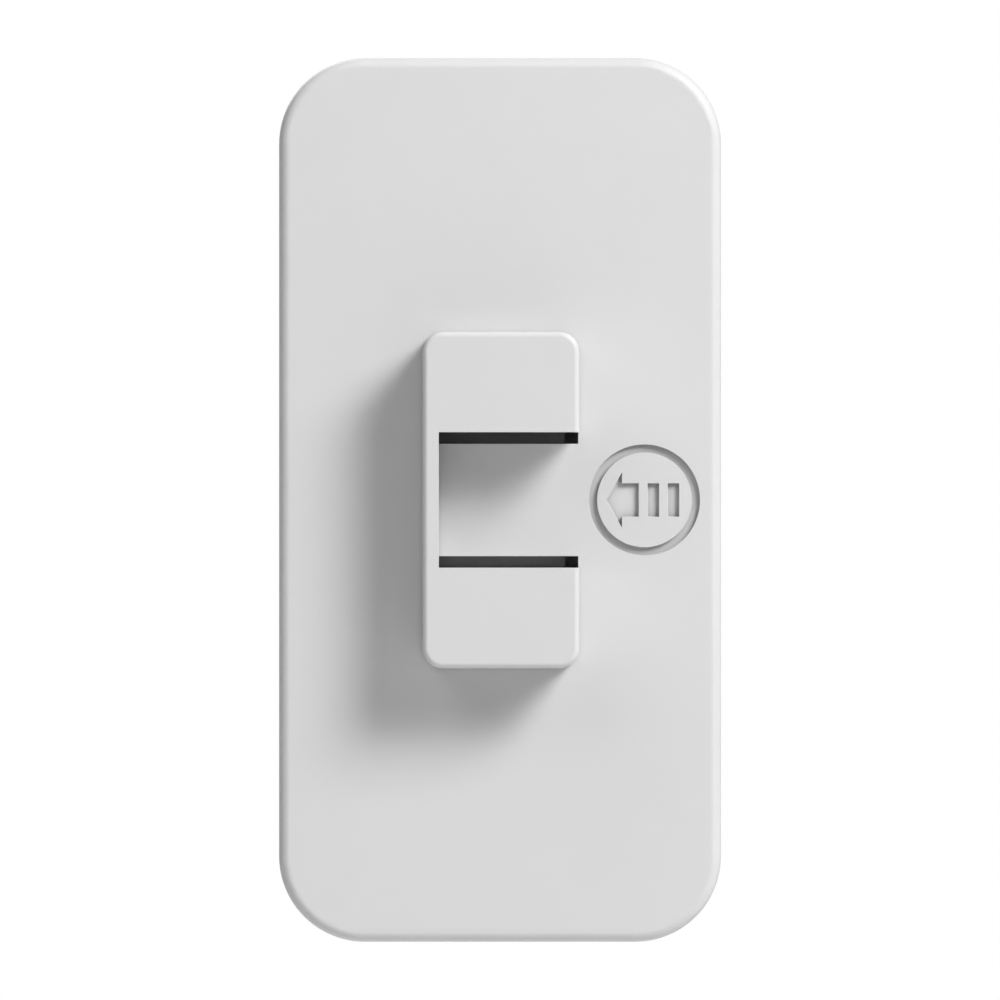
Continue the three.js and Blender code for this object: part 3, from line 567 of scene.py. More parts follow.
def slider_knob():
    """The C-shaped knob, with its finger notch, cored out behind, on its two barbed legs."""
    low, high = mm_box("slider_knob")
    front = low.y
    width, height = high.x - low.x, high.z - low.z
    middle = (low.x + high.x) / 2
    knob = new_object("visual_slider_knob",
                      rolled_block(width, height, KNOB_CORNER, KNOB_FILLET, front, KNOB_BACK, (middle, 0)))
    cut(knob, brick((low.x + SPINE, high.x + 1), (front - 1, KNOB_BACK + 1), (-NOTCH_HALF, NOTCH_HALF)))
    core_width = (width - 2 * KNOB_WALL - KNOB_RIB) / 2
    core_z = (NOTCH_HALF + KNOB_WALL, height / 2 - KNOB_WALL)
    core_half = (core_z[1] - core_z[0]) / 2
    for x in (low.x + KNOB_WALL + core_width / 2, high.x - KNOB_WALL - core_width / 2):
        for side in (-1, 1):
            z = side * (core_z[0] + core_z[1]) / 2
            core = arc_outline(core_width, 2 * core_half, 0.8, 6, (x, z))
            cut(knob, prism(core, front + KNOB_SKIN, KNOB_BACK + 1))
    for side in (-1, 1):
        join(knob, knob_leg(side))
    soften(knob, 0.06)
    return finish_piece(knob, "slider", "wall_plastic", "slider_knob")


def knob_leg(side):
    """A blade through the plate's slot, ending in a barb with a sloping nose."""
    inner = side * (SLOT_Z - LEG_THICK / 2)
    outer = side * (SLOT_Z + LEG_THICK / 2)
    hook = outer + side * LEG_BARB
    ledge = LEG_TIP - 0.6
    profile = [
        (KNOB_BACK - 0.5, inner), (LEG_TIP, inner), (LEG_TIP, outer), (LEG_TIP - 0.15, hook), (ledge, hook),
        (ledge, outer), (KNOB_BACK - 0.5, outer),
    ]
    return prism(profile, LEG_X - LEG_WIDTH / 2, LEG_X + LEG_WIDTH / 2, "X")


# ---------------------------------------------------------------- what holds it to the wall


def mounting_frame():
    """The frame that the plate snaps onto: a tray with a window, screw holes, notches and thinned panels."""
    low, high = mm_box("mounting_frame")
    front, back, edge = low.y, high.y, 1.6
    inner = -2.1
    tray = new_object("visual_mounting_frame",
                      rolled_block(high.x - low.x, high.z - low.z, 8.5, 0.5, front, back, steps=4))
    cut(tray, prism(arc_outline(high.x - low.x - 2 * edge, high.z - low.z - 2 * edge, 6.9), inner, back + 1))
    through = (front - 1, back + 1)
    cut(tray, prism(arc_outline(*FRAME_WINDOW), *through))
    cut(tray, peg(4.6, through, TRIM_X, TRIM_Z))
    for side in (-1, 1):
        cut(tray, peg(2, through, 0, side * PLATE_HOLE_Z), peg(5.2, through, 0, side * BOX_HOLE_Z))
        cut(tray, prism(arc_outline(34, 9, 2, 8, (0, side * 29.5)), front - 1, front + 0.35))
        for end in (-1, 1):
            notch_x = sorted((side * (high.x - edge - GAP / 2), side * (high.x + 1)))
            cut(tray, brick(notch_x, (inner, back + 1), (end * HOOK_Z - 4.6, end * HOOK_Z + 4.6)))
            cut(tray, prism(arc_outline(3, 10, 1.4, 8, (side * 19, end * 45)), front - 1, front + 0.35))
    soften(tray, 0.12)
    return finish_piece(tray, "base", "frame_plastic", "mounting_frame")


def mounting_strap():
    """The strap: its ears with score lines to break them at, two stiffening beads and all its holes."""
    low, high = mm_box("mounting_strap")
    front, back = low.y, -GAP
    strap = new_object("visual_mounting_strap", prism(arc_outline(*STRAP_MIDDLE), front, back))
    join(strap, prism(arc_outline(*STRAP_LENGTH), front, back))
    for side in (-1, 1):
        join(strap, prism(arc_outline(*STRAP_EAR, 12, (0, side * EAR_Z)), front, high.y))
    through = (front - 1, high.y + 1)
    cut(strap, brick(LEVER_SLOT_X, through, (-LEVER_SLOT_HALF, LEVER_SLOT_HALF)),
        peg(1.85, through, 0, TRIAC_HOLE_Z), peg(2.1, through, GROUND_X, GROUND_Z),
        peg(2, through, TRIM_X, TRIM_Z))
    for side in (-1, 1):
        cut(strap, prism(arc_outline(9, 4.3, 2.1, 12, (0, side * BOX_HOLE_Z)), *through),
            peg(1.95, through, 0, side * PLATE_HOLE_Z), peg(1.35, through, side * GUIDE_SCREW_X, 0),
            peg(1.7, through, side * HOUSING_SCREW_X, HOUSING_SCREW_Z),
            peg(1.7, through, side * HOUSING_SCREW_X, -HOUSING_SCREW_Z),
            prism(arc_outline(2.2, 13, 1, 8, (side * 11, 24)), front - 1, front + 0.4))
        for end in (-1, 1):
            ear = (end * 39.2, end * 53)
            x = side * 11
            score = [(x - 0.5, high.y + 0.1), (x, high.y - 0.5), (x + 0.5, high.y + 0.1)]
            cut(strap, prism(score, min(ear), max(ear), "Z"))
    soften(strap, 0.15)
    return finish_piece(strap, "base", "aluminium", "mounting_strap")


# ---------------------------------------------------------------- screws


def threaded(shank_r, pitch, start, end, point_r):
    """The rings of a threaded shank along Y: each ring's radius follows the helix."""
    depth = 0.42 * pitch
    steps = 24
    rings = []
    rows = int((end - start) / pitch * 6)
    for row in range(rows + 1):
        y = start + (end - start) * row / rows
        fade = min(1, (y - start) / pitch, (end - y) / pitch)
        points = []
        for i in range(steps):
            turn = i / steps
            crest = abs(2 * ((y / pitch - turn) % 1) - 1)
            r = min(shank_r, shank_r - depth + 1.3 * depth * crest * fade + (1 - fade) * 0.5 * depth)
            points.append((r * math.cos(2 * math.pi * turn), r * math.sin(2 * math.pi * turn)))
        rings.append((y, points))
    rings.append((end + (shank_r - point_r) * 0.6, circle_outline(point_r, steps)))
    return rings


def screw(head_r, head_height, shank_r, length, pitch, drive):
    """A screw along Y, its head towards -Y and its bearing face at y = 0."""
    steps = 24
    point_r = shank_r * 0.6
    end = length - (shank_r - point_r) * 0.6
    rings = []
    for i in range(1, 9):
        share = math.sin(math.radians(90 * i / 8))
        y = -head_height * (1 - share**2.6) ** (1 / 2.6)
        rings.append((y, circle_outline(head_r * share, steps)))
    rings.append((0, circle_outline(shank_r * 0.93, steps)))
    rings += threaded(shank_r, pitch, 0.4, end, point_r)
    obj = new_object("screw", loft(rings))
    top = -head_height
    if "slot" in drive:
        slot_half = 0.13 * head_r
        slot_y = (top - 1, top + 0.5 * head_height)
        cut(obj, brick((-head_r - 1, head_r + 1), slot_y, (-slot_half, slot_half)))
    if "cross" in drive:
        arm, half = 0.58 * head_r, 0.14 * head_r
        depth = top + 0.72 * head_height
        for long_x, long_z in ((arm, half), (half, arm)):
            mouth = arc_outline(2 * long_x, 2 * long_z, half * 0.4, 2)
            floor = arc_outline(1.1 * long_x, 1.1 * long_z, half * 0.2, 2)
            cut(obj, loft([(top - 1, mouth), (top, mouth), (depth, floor)]))
    if "hex" in drive:
        washer = peg(head_r, (-0.5, 0), steps=steps)
        blank = new_object("hex", prism(circle_outline(head_r * 0.9, 6), top, -0.3))
        join(obj, washer, unmade(blank))
        cut(obj, brick((-head_r - 1, head_r + 1), (top - 1, top + 0.8), (-0.4, 0.4)))
    soften(obj, 0.06, keep=lambda middle: middle.y < 0.05)
    return obj


def screws():
    """Every screw stands where its CAD node does, with its head on the same side."""
    housing = [f"housing_screw_{i}" for i in range(1, 5)]
    binding = [f"terminal_screw_{name}" for name in TERMINALS]
    kinds = [  # nodes, the sizes that screw() takes, the side that the head is on, and the finish
        (["box_screw_top", "box_screw_bottom"], (3.4, 2, 1.75, 22, 0.8, "slot cross"), "front", "zinc_steel"),
        (["frame_screw_top", "frame_screw_bottom"], (3, 1.2, 1.6, 8, 0.8, "slot"), "front", "zinc_steel"),
        (["guide_screw_left", "guide_screw_right"], (2, 1.2, 1, 3.6, 0.5, "cross"), "front", "zinc_steel"),
        (housing, (2.7, 1.8, 1.4, 28.8, 0.6, "cross"), "back", "zinc_steel"),
        (["triac_screw"], (2.7, 2, 1.5, 3.9, 0.5, "cross"), "back", "zinc_steel"),
        (["ground_screw"], (3, 2, 1.75, 1.9, 0.8, "hex"), "back", "green_steel"),
        (binding, (3.4, 2, 1.7, 4.8, 0.8, "slot cross"), "side", "brass"),
    ]
    for nodes, size, facing, slot in kinds:
        head_height = size[1]
        model = screw(*size)
        for node in nodes:
            low, high = mm_box(node)
            centre = (low + high) / 2
            side = 1 if centre.x > 0 else -1
            if facing == "front":
                at, angle, axis = (centre.x, low.y + head_height, centre.z), 0, "X"
            elif facing == "back":
                at, angle, axis = (centre.x, high.y - head_height, centre.z), 180, "X"
            else:
                outer = high.x if side > 0 else low.x
                at, angle, axis = (outer - side * head_height, centre.y, centre.z), side * 90, "Z"
            piece = new_object(f"visual_{node}", placed(in_mm(model), at, angle, axis))
            finish_piece(piece, "base", slot, node, smooth=30)
        bpy.data.objects.remove(model)


# ---------------------------------------------------------------- the slide


def slide_guide():
    """The ring that the carriage slides in, with grooves for its tongues and channels for its wings."""
    low, high = mm_box("slide_guide")
    front, back = low.y, high.y
    block = rolled_block(high.x - low.x, high.z - low.z, 1.5, 0.4, front, back, steps=4, arc_steps=6)
    guide = new_object("visual_slide_guide", block)
    cut(guide, brick(GUIDE_WINDOW_X, (front - 1, back + 1), (-GUIDE_WINDOW_HALF, GUIDE_WINDOW_HALF)))
    cut(guide, brick(GUIDE_WINDOW_X, GUIDE_GROOVE_Y, (-GUIDE_GROOVE_HALF, GUIDE_GROOVE_HALF)))
    for side in (-1, 1):
        x = side * GUIDE_SCREW_X
        cut(guide, peg(2.4, (front - 1, -3.8), x), peg(1.35, (front - 1, back + 1), x))
        channel_z = (side * SLOT_Z - WING_HALF - GAP, side * SLOT_Z + WING_HALF + GAP)
        cut(guide, brick((low.x - 1, high.x + 1), (front - 1, WING_BACK + GAP), channel_z))
        for end in (-1, 1):
            cut(guide, peg(1.4, (front - 1, front + 0.5), x, end * 12.2))
    soften(guide, 0.12)
    return finish_piece(guide, "base", "nylon", "slide_guide")


def fibre_sheet():
    """A fibre sheet between the slide and the strap."""
    sheet = new_object("visual_fibre_sheet", prism(arc_outline(26.4, 21, 0.6, 6, (-0.15, 0)), -2.06, -1.86))
    cut(sheet, brick(LEVER_SLOT_X, (-3, -1), (-LEVER_SLOT_HALF, LEVER_SLOT_HALF)))
    soften(sheet, 0.03)
    return finish_piece(sheet, "base", "phenolic", material=MATERIALS["fibre"])


def slide_carriage():
    """The carriage: its tongues, the sockets for the knob's legs, its fork, and wings behind the slots."""
    x = (LEG_X - CARRIAGE_HALF, LEG_X + CARRIAGE_HALF)
    block = brick(x, (CARRIAGE_FRONT, CARRIAGE_BACK), (-CARRIAGE_REACH, CARRIAGE_REACH))
    carriage = new_object("visual_slide_carriage", block)
    join(carriage, brick(x, TONGUE_Y, (-TONGUE_REACH, TONGUE_REACH)))
    for side in (-1, 1):
        wing_z = (side * SLOT_Z - WING_HALF, side * SLOT_Z + WING_HALF)
        join(carriage, brick((WING_LEFT, WING_RIGHT), (CARRIAGE_FRONT, WING_BACK), wing_z))
    socket_x = (LEG_X - LEG_WIDTH / 2 - GAP, LEG_X + LEG_WIDTH / 2 + GAP)
    for side in (-1, 1):
        inner = side * (SLOT_Z - LEG_THICK / 2 - GAP)
        outer = side * (SLOT_Z + LEG_THICK / 2 + GAP)
        barb = outer + side * LEG_BARB
        cut(carriage, brick(socket_x, (-6, -1), sorted((inner, outer))))
        cut(carriage, brick(socket_x, (LEG_TIP - 0.9, -1), sorted((inner, barb))))
        prong_x = sorted((LEG_X + side, LEG_X + side * 2.2))
        join(carriage, brick(prong_x, (-2.6, 0.1), (-2.2, 2.2)))
    cut(carriage, prism(arc_outline(5.5, 9, 1, 6, (LEG_X, 0)), -6, -4.6))
    soften(carriage, 0.12)
    return finish_piece(carriage, "slider", "nylon", "slide_carriage")


def slide_potentiometer():
    """The folded metal case, the track and its pins, the load's rail, the lever and the wiper's fingers."""
    low, high = mm_box("slide_pot_case")
    width, height, centre = high.x - low.x, high.z - low.z, ((low.x + high.x) / 2, 0)
    block = rolled_block(width, height, 0.9, 0.6, low.y, high.y, centre, steps=4, arc_steps=6)
    case = new_object("visual_slide_pot_case", block)
    hollow = arc_outline(width - 1.2, height - 1.2, 0.4, 4, centre)
    cut(case, prism(hollow, low.y + 0.6, high.y + 1))
    cut(case, brick((-11, 10.6), (low.y - 1, low.y + 1), (-1.6, 1.6)))
    for x in (-14.5, 14):
        cut(case, peg(0.9, (low.y - 1, low.y + 0.2), x))
        cut(case, brick((x - 1.5, x + 1.5), (high.y - 0.8, high.y + 1), (-6, 6)))
    soften(case, 0.06)
    finish_piece(case, "base", "zinc_steel", "slide_pot_case")

    low, high = mm_box("resistive_track")
    track = new_object("visual_resistive_track", brick((low.x, high.x), (5.6, 7.1), (low.z, high.z)))
    for x in (-14, -10, 14):
        join(track, brick((x - 0.4, x + 0.4), (6.5, high.y), (-0.4, 0.4)))
    soften(track, 0.06)
    finish_piece(track, "base", "phenolic", "resistive_track")
    paint(track, MATERIALS["zinc_steel"], lambda middle: middle.y > 7.15)
    carbon = prism(arc_outline(28, 1.8, 0.4, 5, (0, -1.7)), 5.565, 5.7)
    trace = new_object("visual_carbon_trace", carbon)
    finish_piece(trace, "base", "phenolic", material=MATERIALS["carbon"])

    low, high = mm_box("contact_rail")
    rail = new_object("visual_contact_rail", brick((low.x, high.x), (low.y, high.y), (low.z, high.z)))
    groove = arc_outline(high.x - low.x - 2, 0.5, 0.24, 5, ((low.x + high.x) / 2, 1.7))
    cut(rail, prism(groove, low.y - 1, low.y + 0.1))
    soften(rail, 0.08)
    finish_piece(rail, "base", "brass", "contact_rail")

    lever = new_object("visual_wiper_lever", brick((LEG_X - 3.5, LEG_X + 3.5), (1.6, 3.4), (-2.9, 2.9)))
    join(lever, brick((LEG_X - 0.65, LEG_X + 0.65), (-1.6, 2.6), (-1.2, 1.2)))
    for x in (LEG_X - 2, LEG_X + 2):
        cut(lever, brick((x - 0.8, x + 0.8), (2.9, 4), (-3, 3)))
    soften(lever, 0.12)
    finish_piece(lever, "slider", "black_plastic", "wiper_lever")

    wiper = new_object("visual_wiper_contact",
                       prism(arc_outline(6, 5.4, 0.5, 5, (LEG_X, 0)), 3.7, 4.05))
    for side, tip in ((1, 4.58), (-1, 5.24)):
        path = []
        for i in range(13):
            share = i / 12
            path.append((LEG_X - 2 + 4.6 * share, 3.9 + (tip - 4.05) * math.sin(math.radians(105 * share))))
        join(wiper, strip(path, 0.28, (side * 1.7 - 0.65, side * 1.7 + 0.65)))
    soften(wiper, 0.04)
    return finish_piece(wiper, "slider", "brass", "wiper_contact")


# ---------------------------------------------------------------- the circuit


def circuit_board():
    """The board, with its four holes, and its solder joints towards the room."""
    low, high = mm_box("circuit_board")
    board = new_object("visual_circuit_board", prism(arc_outline(32, 49, 1.2, 6), low.y, high.y))
    for x in (-13, 13):
        for z in (-21.5, 21.5):
            cut(board, peg(1.2, (low.y - 1, high.y + 1), x, z, 24))
    soften(board, 0.08)
    finish_piece(board, "base", "epoxy_board", "circuit_board")
    cones = []
    for place in SOLDER_JOINTS:
        rings = [(low.y - height, circle_outline(radius, 20, place)) for height, radius in SOLDER_CONE]
        cones.append(loft(rings))
    solder = new_object("visual_solder_joints", merged(*cones))
    return finish_piece(solder, "base", "zinc_steel")


def triac():
    """The triac with its metal tab and three leads, and the insulating sheet under it."""
    low, high = mm_box("triac")
    front = low.y
    body_z = (12.5, 21.8)
    package = new_object("visual_triac", brick((-5.1, 5.1), (front, front + 4.5), body_z))
    join(package, brick((-5.1, 5.1), (front, front + 1.3), (20.8, high.z)))
    cut(package, peg(1.85, (front - 1, front + 3), 0, TRIAC_HOLE_Z))
    cut(package, peg(1, (front + 4.3, front + 6), 0, 17))
    for side in (-1, 1):
        notch = [(side * 5.3, 20), (side * 4.4, 20.5), (side * 5.3, 21)]
        cut(package, prism(notch, front + 1.5, front + 6))
    for x in (-LEAD_PITCH, 0, LEAD_PITCH):
        lead_x = (x - 0.4, x + 0.4)
        join(package, brick(lead_x, (2.9, 3.5), (10.5, 13.5)), brick(lead_x, (2.9, 8.2), (10.5, 11.1)))
    soften(package, 0.12)
    finish_piece(package, "base", "black_plastic", "triac")
    paint(package, MATERIALS["zinc_steel"],
          lambda middle: middle.z > 21.9 or middle.z < 12.4 or middle.y < front + 0.02)
    low, high = mm_box("triac_insulator")
    outline = arc_outline(high.x - low.x, high.z - low.z, 1, 6, (0, (low.z + high.z) / 2))
    sheet = new_object("visual_triac_insulator", prism(outline, low.y, high.y))
    cut(sheet, peg(2, (low.y - 1, high.y + 1), 0, TRIAC_HOLE_Z))
    return finish_piece(soften(sheet, 0.05), "base", "silicone", "triac_insulator")


def choke():
    """The ferrite bobbin and its winding, whose turns lie side by side."""
    low, high = mm_box("choke_core")
    x, y, z = (low.x + high.x) / 2, low.y, (low.z + high.z) / 2
    profile = [
        (7.1, 0), (7.5, 0.4), (7.5, 1.1), (7.1, 1.5), (3.3, 1.5), (3, 1.8),
        (3, 11.7), (3.3, 12), (7.1, 12), (7.5, 12.4), (7.5, 13.1), (7.1, 13.5),
    ]
    bobbin = loft([(at, circle_outline(r, 48)) for r, at in profile])
    core = new_object("visual_choke_core", placed(bobbin, (x, y, z)))
    cut(core, peg(1.2, (y + 12.9, y + 15), x, z, 24))
    finish_piece(core, "base", "ferrite", "choke_core", smooth=30)
    wire, radius, start, turns = 0.5, 6.38, 2.4, 9
    pitch = (11.1 - start) / turns
    sides, steps = 10, 32
    rings = []
    for i in range(turns * steps + 1):
        angle = 2 * math.pi * i / steps
        centre = Vector((radius * math.cos(angle), start + pitch * i / steps, radius * math.sin(angle)))
        out = Vector((math.cos(angle), 0, math.sin(angle)))
        ring = []
        for k in range(sides):
            around = 2 * math.pi * k / sides
            ring.append(centre + out * wire * math.cos(around) + Vector((0, wire * math.sin(around), 0)))
        rings.append(ring)
    bm = bmesh.new()
    rows = [[bm.verts.new(point) for point in ring] for ring in rings]
    for front, back in zip(rows, rows[1:]):
        for k in range(sides):
            bm.faces.new((front[k], back[k], back[(k + 1) % sides], front[(k + 1) % sides]))
    bm.faces.new(rows[0])
    bm.faces.new(rows[-1])
    under = new_object("under", peg(6.1, (2, 11.5), steps=48))
    cut(under, peg(3.3, (1, 13), steps=48))
    winding = new_object("visual_choke_winding", placed(merged(bm, unmade(under)), (x, y, z)))
    return finish_piece(winding, "base", "copper", "choke_winding", smooth=60)


def capacitor(node, radius, slot):
    """A block with a rounded back, whose front is sunk a little inside its rim."""
    low, high = mm_box(node)
    width, height = high.x - low.x, high.z - low.z
    centre = ((low.x + high.x) / 2, (low.z + high.z) / 2)
    block = rolled_block(
        width, height, radius, radius * 0.6, low.y, high.y, centre, steps=5, arc_steps=6, flip=True,
    )
    body = new_object(f"visual_{node}", block)
    cut(body, prism(arc_outline(width - 2, height - 2, 0.5, 4, centre), low.y - 1, low.y + 0.3))
    soften(body, 0.12)
    finish_piece(body, "base", slot, node)


def capacitors():
    capacitor("film_capacitor", 1.1, "film_yellow")
    capacitor("timing_capacitor", 1.0, "resistor_blue")


def axial_part(node, length, radius, waist, slot, bands):
    """A resistor or diode along Z with coloured bands, on two bent leads."""
    low, high = mm_box(node)
    x, z = (low.x + high.x) / 2, (low.z + high.z) / 2
    y = high.y - radius
    rings = []
    rows = 40
    for row in range(rows + 1):
        share = 2 * row / rows - 1
        dumbbell = 0.5 + 0.5 * math.cos(math.pi * min(1, max(0, (0.9 - abs(share)) / 0.35)))
        end = min(1, (1 - abs(share)) / 0.16)
        r = (waist + (radius - waist) * dumbbell) * math.sqrt(max(0.05, 1 - (1 - end) ** 2))
        rings.append((z + share * length / 2, [(x + u, y + v) for u, v in circle_outline(r, 24)]))
    part = new_object(f"visual_{node}", loft(rings, "Z"))
    lead = 0.36
    for side in (-1, 1):
        far = high.z if side > 0 else low.z
        near = z + side * (length / 2 - 0.6)
        outline = [(x + u, y + v) for u, v in circle_outline(lead, 12)]
        join(part, prism(outline, *sorted((near, far)), axis="Z"))
        join(part, peg(lead, (low.y, y), x, far - side * lead, 12))
    finish_piece(part, "base", slot, node)
    paint(part, MATERIALS["zinc_steel"], lambda middle: abs(middle.z - z) > length / 2)
    for material, place, half in bands:
        paint(part, MATERIALS[material], lambda middle: abs(middle.z - z - place * length) < half * length)


def axial_parts():
    places = (("epoxy_board", -0.22), ("film_yellow", -0.1), ("phenolic", 0.04), ("brass", 0.24))
    colours = [(material, place, 0.03) for material, place in places]
    axial_part("snubber_resistor", 9, 2.1, 1.8, "resistor_blue", colours)
    axial_part("timing_resistor", 6.5, 1.3, 1.1, "resistor_blue", colours)
    axial_part("diac", 4, 1, 1, "diac_blue", [("black_plastic", 0, 0.08)])


def trim():
    """The trim potentiometer's body and the dial with a knurled rim that turns in it."""
    low, high = mm_box("trim_pot_body")
    body = new_object("visual_trim_pot_body", brick((low.x, high.x), (low.y, high.y), (low.z, high.z)))
    cut(body, peg(1.6, (low.y - 1, low.y + 1.5), TRIM_X, TRIM_Z))
    for side in (-1, 1):
        pocket_x = sorted((TRIM_X + side * 2.6, TRIM_X + side * 4))
        cut(body, brick(pocket_x, (low.y - 1, low.y + 0.5), (TRIM_Z - 2, TRIM_Z + 2)))
    finish_piece(soften(body, 0.2), "base", "film_yellow", "trim_pot_body")
    low, high = mm_box("trim_dial")
    rim = (low.y, low.y + 2)
    knurled = circle_outline(3.6, 96, ripple=0.22, waves=24)
    rings = [
        (rim[0], circle_outline(3.25, 96)), (rim[0] + 0.35, knurled),
        (rim[1] - 0.3, knurled), (rim[1], circle_outline(3.3, 96)),
    ]
    dial = new_object("visual_trim_dial", placed(loft(rings), (TRIM_X, 0, TRIM_Z)))
    join(dial, peg(1.2, (rim[1] - 0.5, high.y), TRIM_X, TRIM_Z, 24))
    cut(dial, brick((TRIM_X - 2.5, TRIM_X + 2.5), (rim[0] - 1, rim[0] + 0.8), (TRIM_Z - 0.45, TRIM_Z + 0.45)))
    cut(dial, brick((TRIM_X - 0.35, TRIM_X + 0.35), (rim[0] - 1, rim[0] + 0.5), (TRIM_Z + 1.2, TRIM_Z + 5)))
    soften(dial, 0.05, angle=55)
    return finish_piece(dial, "trim_rotor", "wall_plastic", "trim_dial", smooth=30)


# ---------------------------------------------------------------- the housing and its terminals


def back_housing():
    """The housing: rolled back edges, a recessed panel, corner bosses and a recess for each terminal."""
    low, high = mm_box("back_housing")
    width, height, depth = high.x - low.x, high.z - low.z, high.y
    wall = 2
    block = rolled_block(width, height, 3, 1.2, 0, depth, steps=6, flip=True)
    shell = new_object("visual_back_housing", block)
    cut(shell, prism(arc_outline(width - 2 * wall, height - 2 * wall, 1, 6), -1, depth - wall))
    for sx in (-1, 1):
        for sz in (-1, 1):
            x, z = sx * HOUSING_SCREW_X, sz * HOUSING_SCREW_Z
            boss_x = sorted((sx * 14.9, sx * (width / 2 - wall / 2)))
            boss_z = sorted((sz * 25, sz * (height / 2 - wall / 2)))
            join(shell, brick(boss_x, (0, depth - wall / 2), boss_z))
    for side, z in TERMINALS.values():
        outer = width / 2
        wall_x = sorted((side * (RECESS_FLOOR - RECESS_WALL), side * (outer - wall / 2)))
        wall_z = (z - RECESS_HALF - RECESS_WALL, z + RECESS_HALF + RECESS_WALL)
        join(shell, brick(wall_x, (RECESS_FRONT - RECESS_WALL, depth - wall / 2), wall_z))
    for sx in (-1, 1):
        for sz in (-1, 1):
            x, z = sx * HOUSING_SCREW_X, sz * HOUSING_SCREW_Z
            cut(shell, peg(1.75, (-1, depth + 1), x, z), peg(3.1, (27, depth + 1), x, z))
    for side, z in TERMINALS.values():
        pocket_x = sorted((side * RECESS_FLOOR, side * (width / 2 + 1)))
        cut(shell, brick(pocket_x, (RECESS_FRONT, depth + 1), (z - RECESS_HALF, z + RECESS_HALF)))
        slit_x = sorted((side * RECESS_FLOOR, side * (RECESS_FLOOR + 1.6)))
        cut(shell, brick(slit_x, (RECESS_FRONT - 3, RECESS_FRONT + 1), (z - 1.8, z + 1.8)))
        bore_x = sorted((side * (RECESS_FLOOR - RECESS_WALL - 1), side * (width / 2 + 1)))
        cut(shell, prism(circle_outline(TERMINAL_BORE, 32, (TERMINAL_SCREW_Y, z)), *bore_x, axis="X"))
    cut(shell, prism(arc_outline(26, 40, 2), depth - 0.4, depth + 1))
    cut(shell, prism(arc_outline(12, 1.6, 0.8, 8, (0, -27)), depth - 0.6, depth + 1))
    for z in (-27, 27):
        for x in (-11, 11):
            cut(shell, peg(1.3, (depth - 0.2, depth + 1), x, z))
    for side in (-1, 1):
        edge_z = sorted((side * (height / 2 - 0.6), side * (height / 2 + 1)))
        for x in (-9, -4.5, 0, 4.5, 9):
            cut(shell, brick((x - 0.9, x + 0.9), (6, 22), edge_z))
    soften(shell, 0.14)
    return finish_piece(shell, "base", "black_plastic", "back_housing")


def terminal_plates():
    """Each plate: a pad with grooves that grip the wire, a hole, and a foot bent to the board."""
    for name, (side, z) in TERMINALS.items():
        low, high = mm_box(f"terminal_plate_{name}")
        near, far = (RECESS_FLOOR + GAP) * side, (RECESS_FLOOR + GAP + 1) * side
        pad_x = sorted((near, far))
        pad = new_object(f"visual_terminal_plate_{name}",
                         prism(arc_outline(10, 9.2, 0.8, 5, (TERMINAL_SCREW_Y, z)), *pad_x, axis="X"))
        join(pad, brick(pad_x, (low.y, 15.5), (z - 1.5, z + 1.5)))
        foot_x = sorted((side * 14.2, far))
        join(pad, brick(foot_x, (low.y, low.y + 0.8), (z - 1.5, z + 1.5)))
        bore_x = (pad_x[0] - 1, pad_x[1] + 1)
        cut(pad, prism(circle_outline(TERMINAL_BORE, 32, (TERMINAL_SCREW_Y, z)), *bore_x, axis="X"))
        for step in (-3.6, -2.9, 2.9, 3.6):
            y = TERMINAL_SCREW_Y + step
            groove = [(far + side * 0.1, y - 0.2), (far - side * 0.2, y), (far + side * 0.1, y + 0.2)]
            cut(pad, prism(groove, z - 4, z + 4, "Z"))
        soften(pad, 0.08)
        finish_piece(pad, "base", "brass", f"terminal_plate_{name}")


# ---------------------------------------------------------------- studio

PICTURE_WIDTH = 129.3 * MM  # what the picture takes in at the plate's front
CAMERA_DISTANCE = 3.0
SENSOR = 36.0


def aim(obj, target):
    obj.rotation_mode = "QUATERNION"
    obj.rotation_quaternion = (Vector(target) - obj.location).to_track_quat("-Z", "Y")


def camera():
    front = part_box("face_plate")[0].y
    data = bpy.data.cameras.new("camera")
    data.sensor_width = SENSOR
    data.lens = SENSOR * CAMERA_DISTANCE / PICTURE_WIDTH
    data.clip_start, data.clip_end = 0.01, 20
    obj = bpy.data.objects.new("camera", data)
    bpy.context.scene.collection.objects.link(obj)
    obj.location = (0, front - CAMERA_DISTANCE, 0)
    aim(obj, (0, 0, 0))
    bpy.context.scene.camera = obj


def area_light(name, direction, distance, size, power, colour=(1, 1, 1)):
    data = bpy.data.lights.new(name, "AREA")
    data.shape = "DISK"
    data.size = size
    data.energy = power
    data.color = colour
    obj = bpy.data.objects.new(name, data)
    bpy.context.scene.collection.objects.link(obj)
    obj.location = Vector(direction).normalized() * distance
    aim(obj, (0, 0, 0))
    return obj


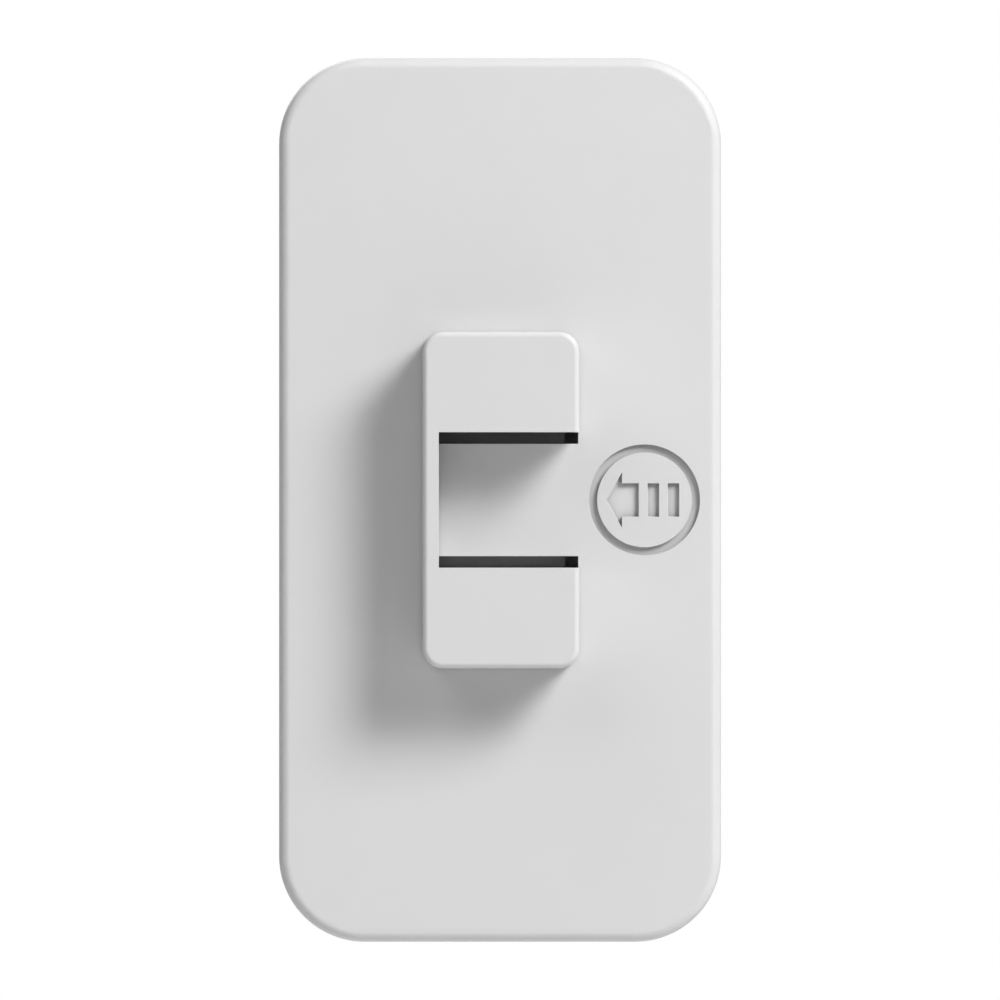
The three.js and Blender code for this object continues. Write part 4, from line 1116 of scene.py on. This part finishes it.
def world(seen, light):
    """A white backdrop for the camera over a softer grey sky for the light."""
    made = bpy.data.worlds.new("studio")
    bpy.context.scene.world = made
    made.use_nodes = True
    tree = made.node_tree
    tree.nodes.clear()
    out = tree.nodes.new("ShaderNodeOutputWorld")
    mix = tree.nodes.new("ShaderNodeMixShader")
    path = tree.nodes.new("ShaderNodeLightPath")
    backdrop, sky = (tree.nodes.new("ShaderNodeBackground") for _ in range(2))
    backdrop.inputs["Strength"].default_value = seen
    sky.inputs["Strength"].default_value = light
    for node in (backdrop, sky):
        node.inputs["Color"].default_value = (1, 1, 1, 1)
    tree.links.new(path.outputs["Is Camera Ray"], mix.inputs["Fac"])
    tree.links.new(sky.outputs[0], mix.inputs[1])
    tree.links.new(backdrop.outputs[0], mix.inputs[2])
    tree.links.new(mix.outputs[0], out.inputs["Surface"])


def floor():
    """A plain pale floor below the picture's lower edge, which fades into the backdrop further out."""
    bm = bmesh.new()
    z = -0.24 / MM
    reach = 1.05 / MM
    bm.faces.new([bm.verts.new((x * reach, y * reach, z)) for x, y in ((-1, -1), (1, -1), (1, 1), (-1, 1))])
    obj = new_object("floor", bm)
    n = Nodes("floor_paper")
    n.link(n.ramp(n.noise(30, 3), [(0.3, 0.8), (0.7, 0.84)]), n.shader.inputs["Base Color"])
    n.shader.inputs["Roughness"].default_value = 0.9
    distance = n.add("ShaderNodeVectorMath", operation="LENGTH")
    n.link(n.coords, distance.inputs[0])
    n.link(n.ramp(distance.outputs["Value"], [(0.4, 1.0), (0.98, 0.0)]), n.shader.inputs["Alpha"])
    obj.data.materials.append(n.material)


# ---------------------------------------------------------------- build

MATERIALS = make_materials()
subpart_slot = {part["node"]: part["material_slot"] for part in frame["record"]["subparts"]}
for node, obj in frame["nodes"].items():
    obj.data.materials.clear()
    obj.data.materials.append(MATERIALS[subpart_slot[node]])

face_plate()
slider_knob()
mounting_frame()
mounting_strap()
screws()
slide_guide()
fibre_sheet()
slide_carriage()
slide_potentiometer()
circuit_board()
triac()
choke()
capacitors()
axial_parts()
trim()
back_housing()
terminal_plates()

camera()
world(seen=1.0, light=0.17)
area_light("key", (1.12, -1, 1.0), 1.2, 0.62, 6.3)
area_light("key_low", (1.3, -1, 1.15), 1.2, 0.44, 5.1)
area_light("key_high", (1.0, -1, 1.2), 1.2, 0.44, 6.5)
area_light("fill", (-0.6, -0.6, 0.8), 1.2, 0.8, 3.3)
area_light("rear", (-0.5, 1, 0.7), 1.4, 0.9, 9)
floor()
bpy.context.scene.view_settings.view_transform = "Standard"
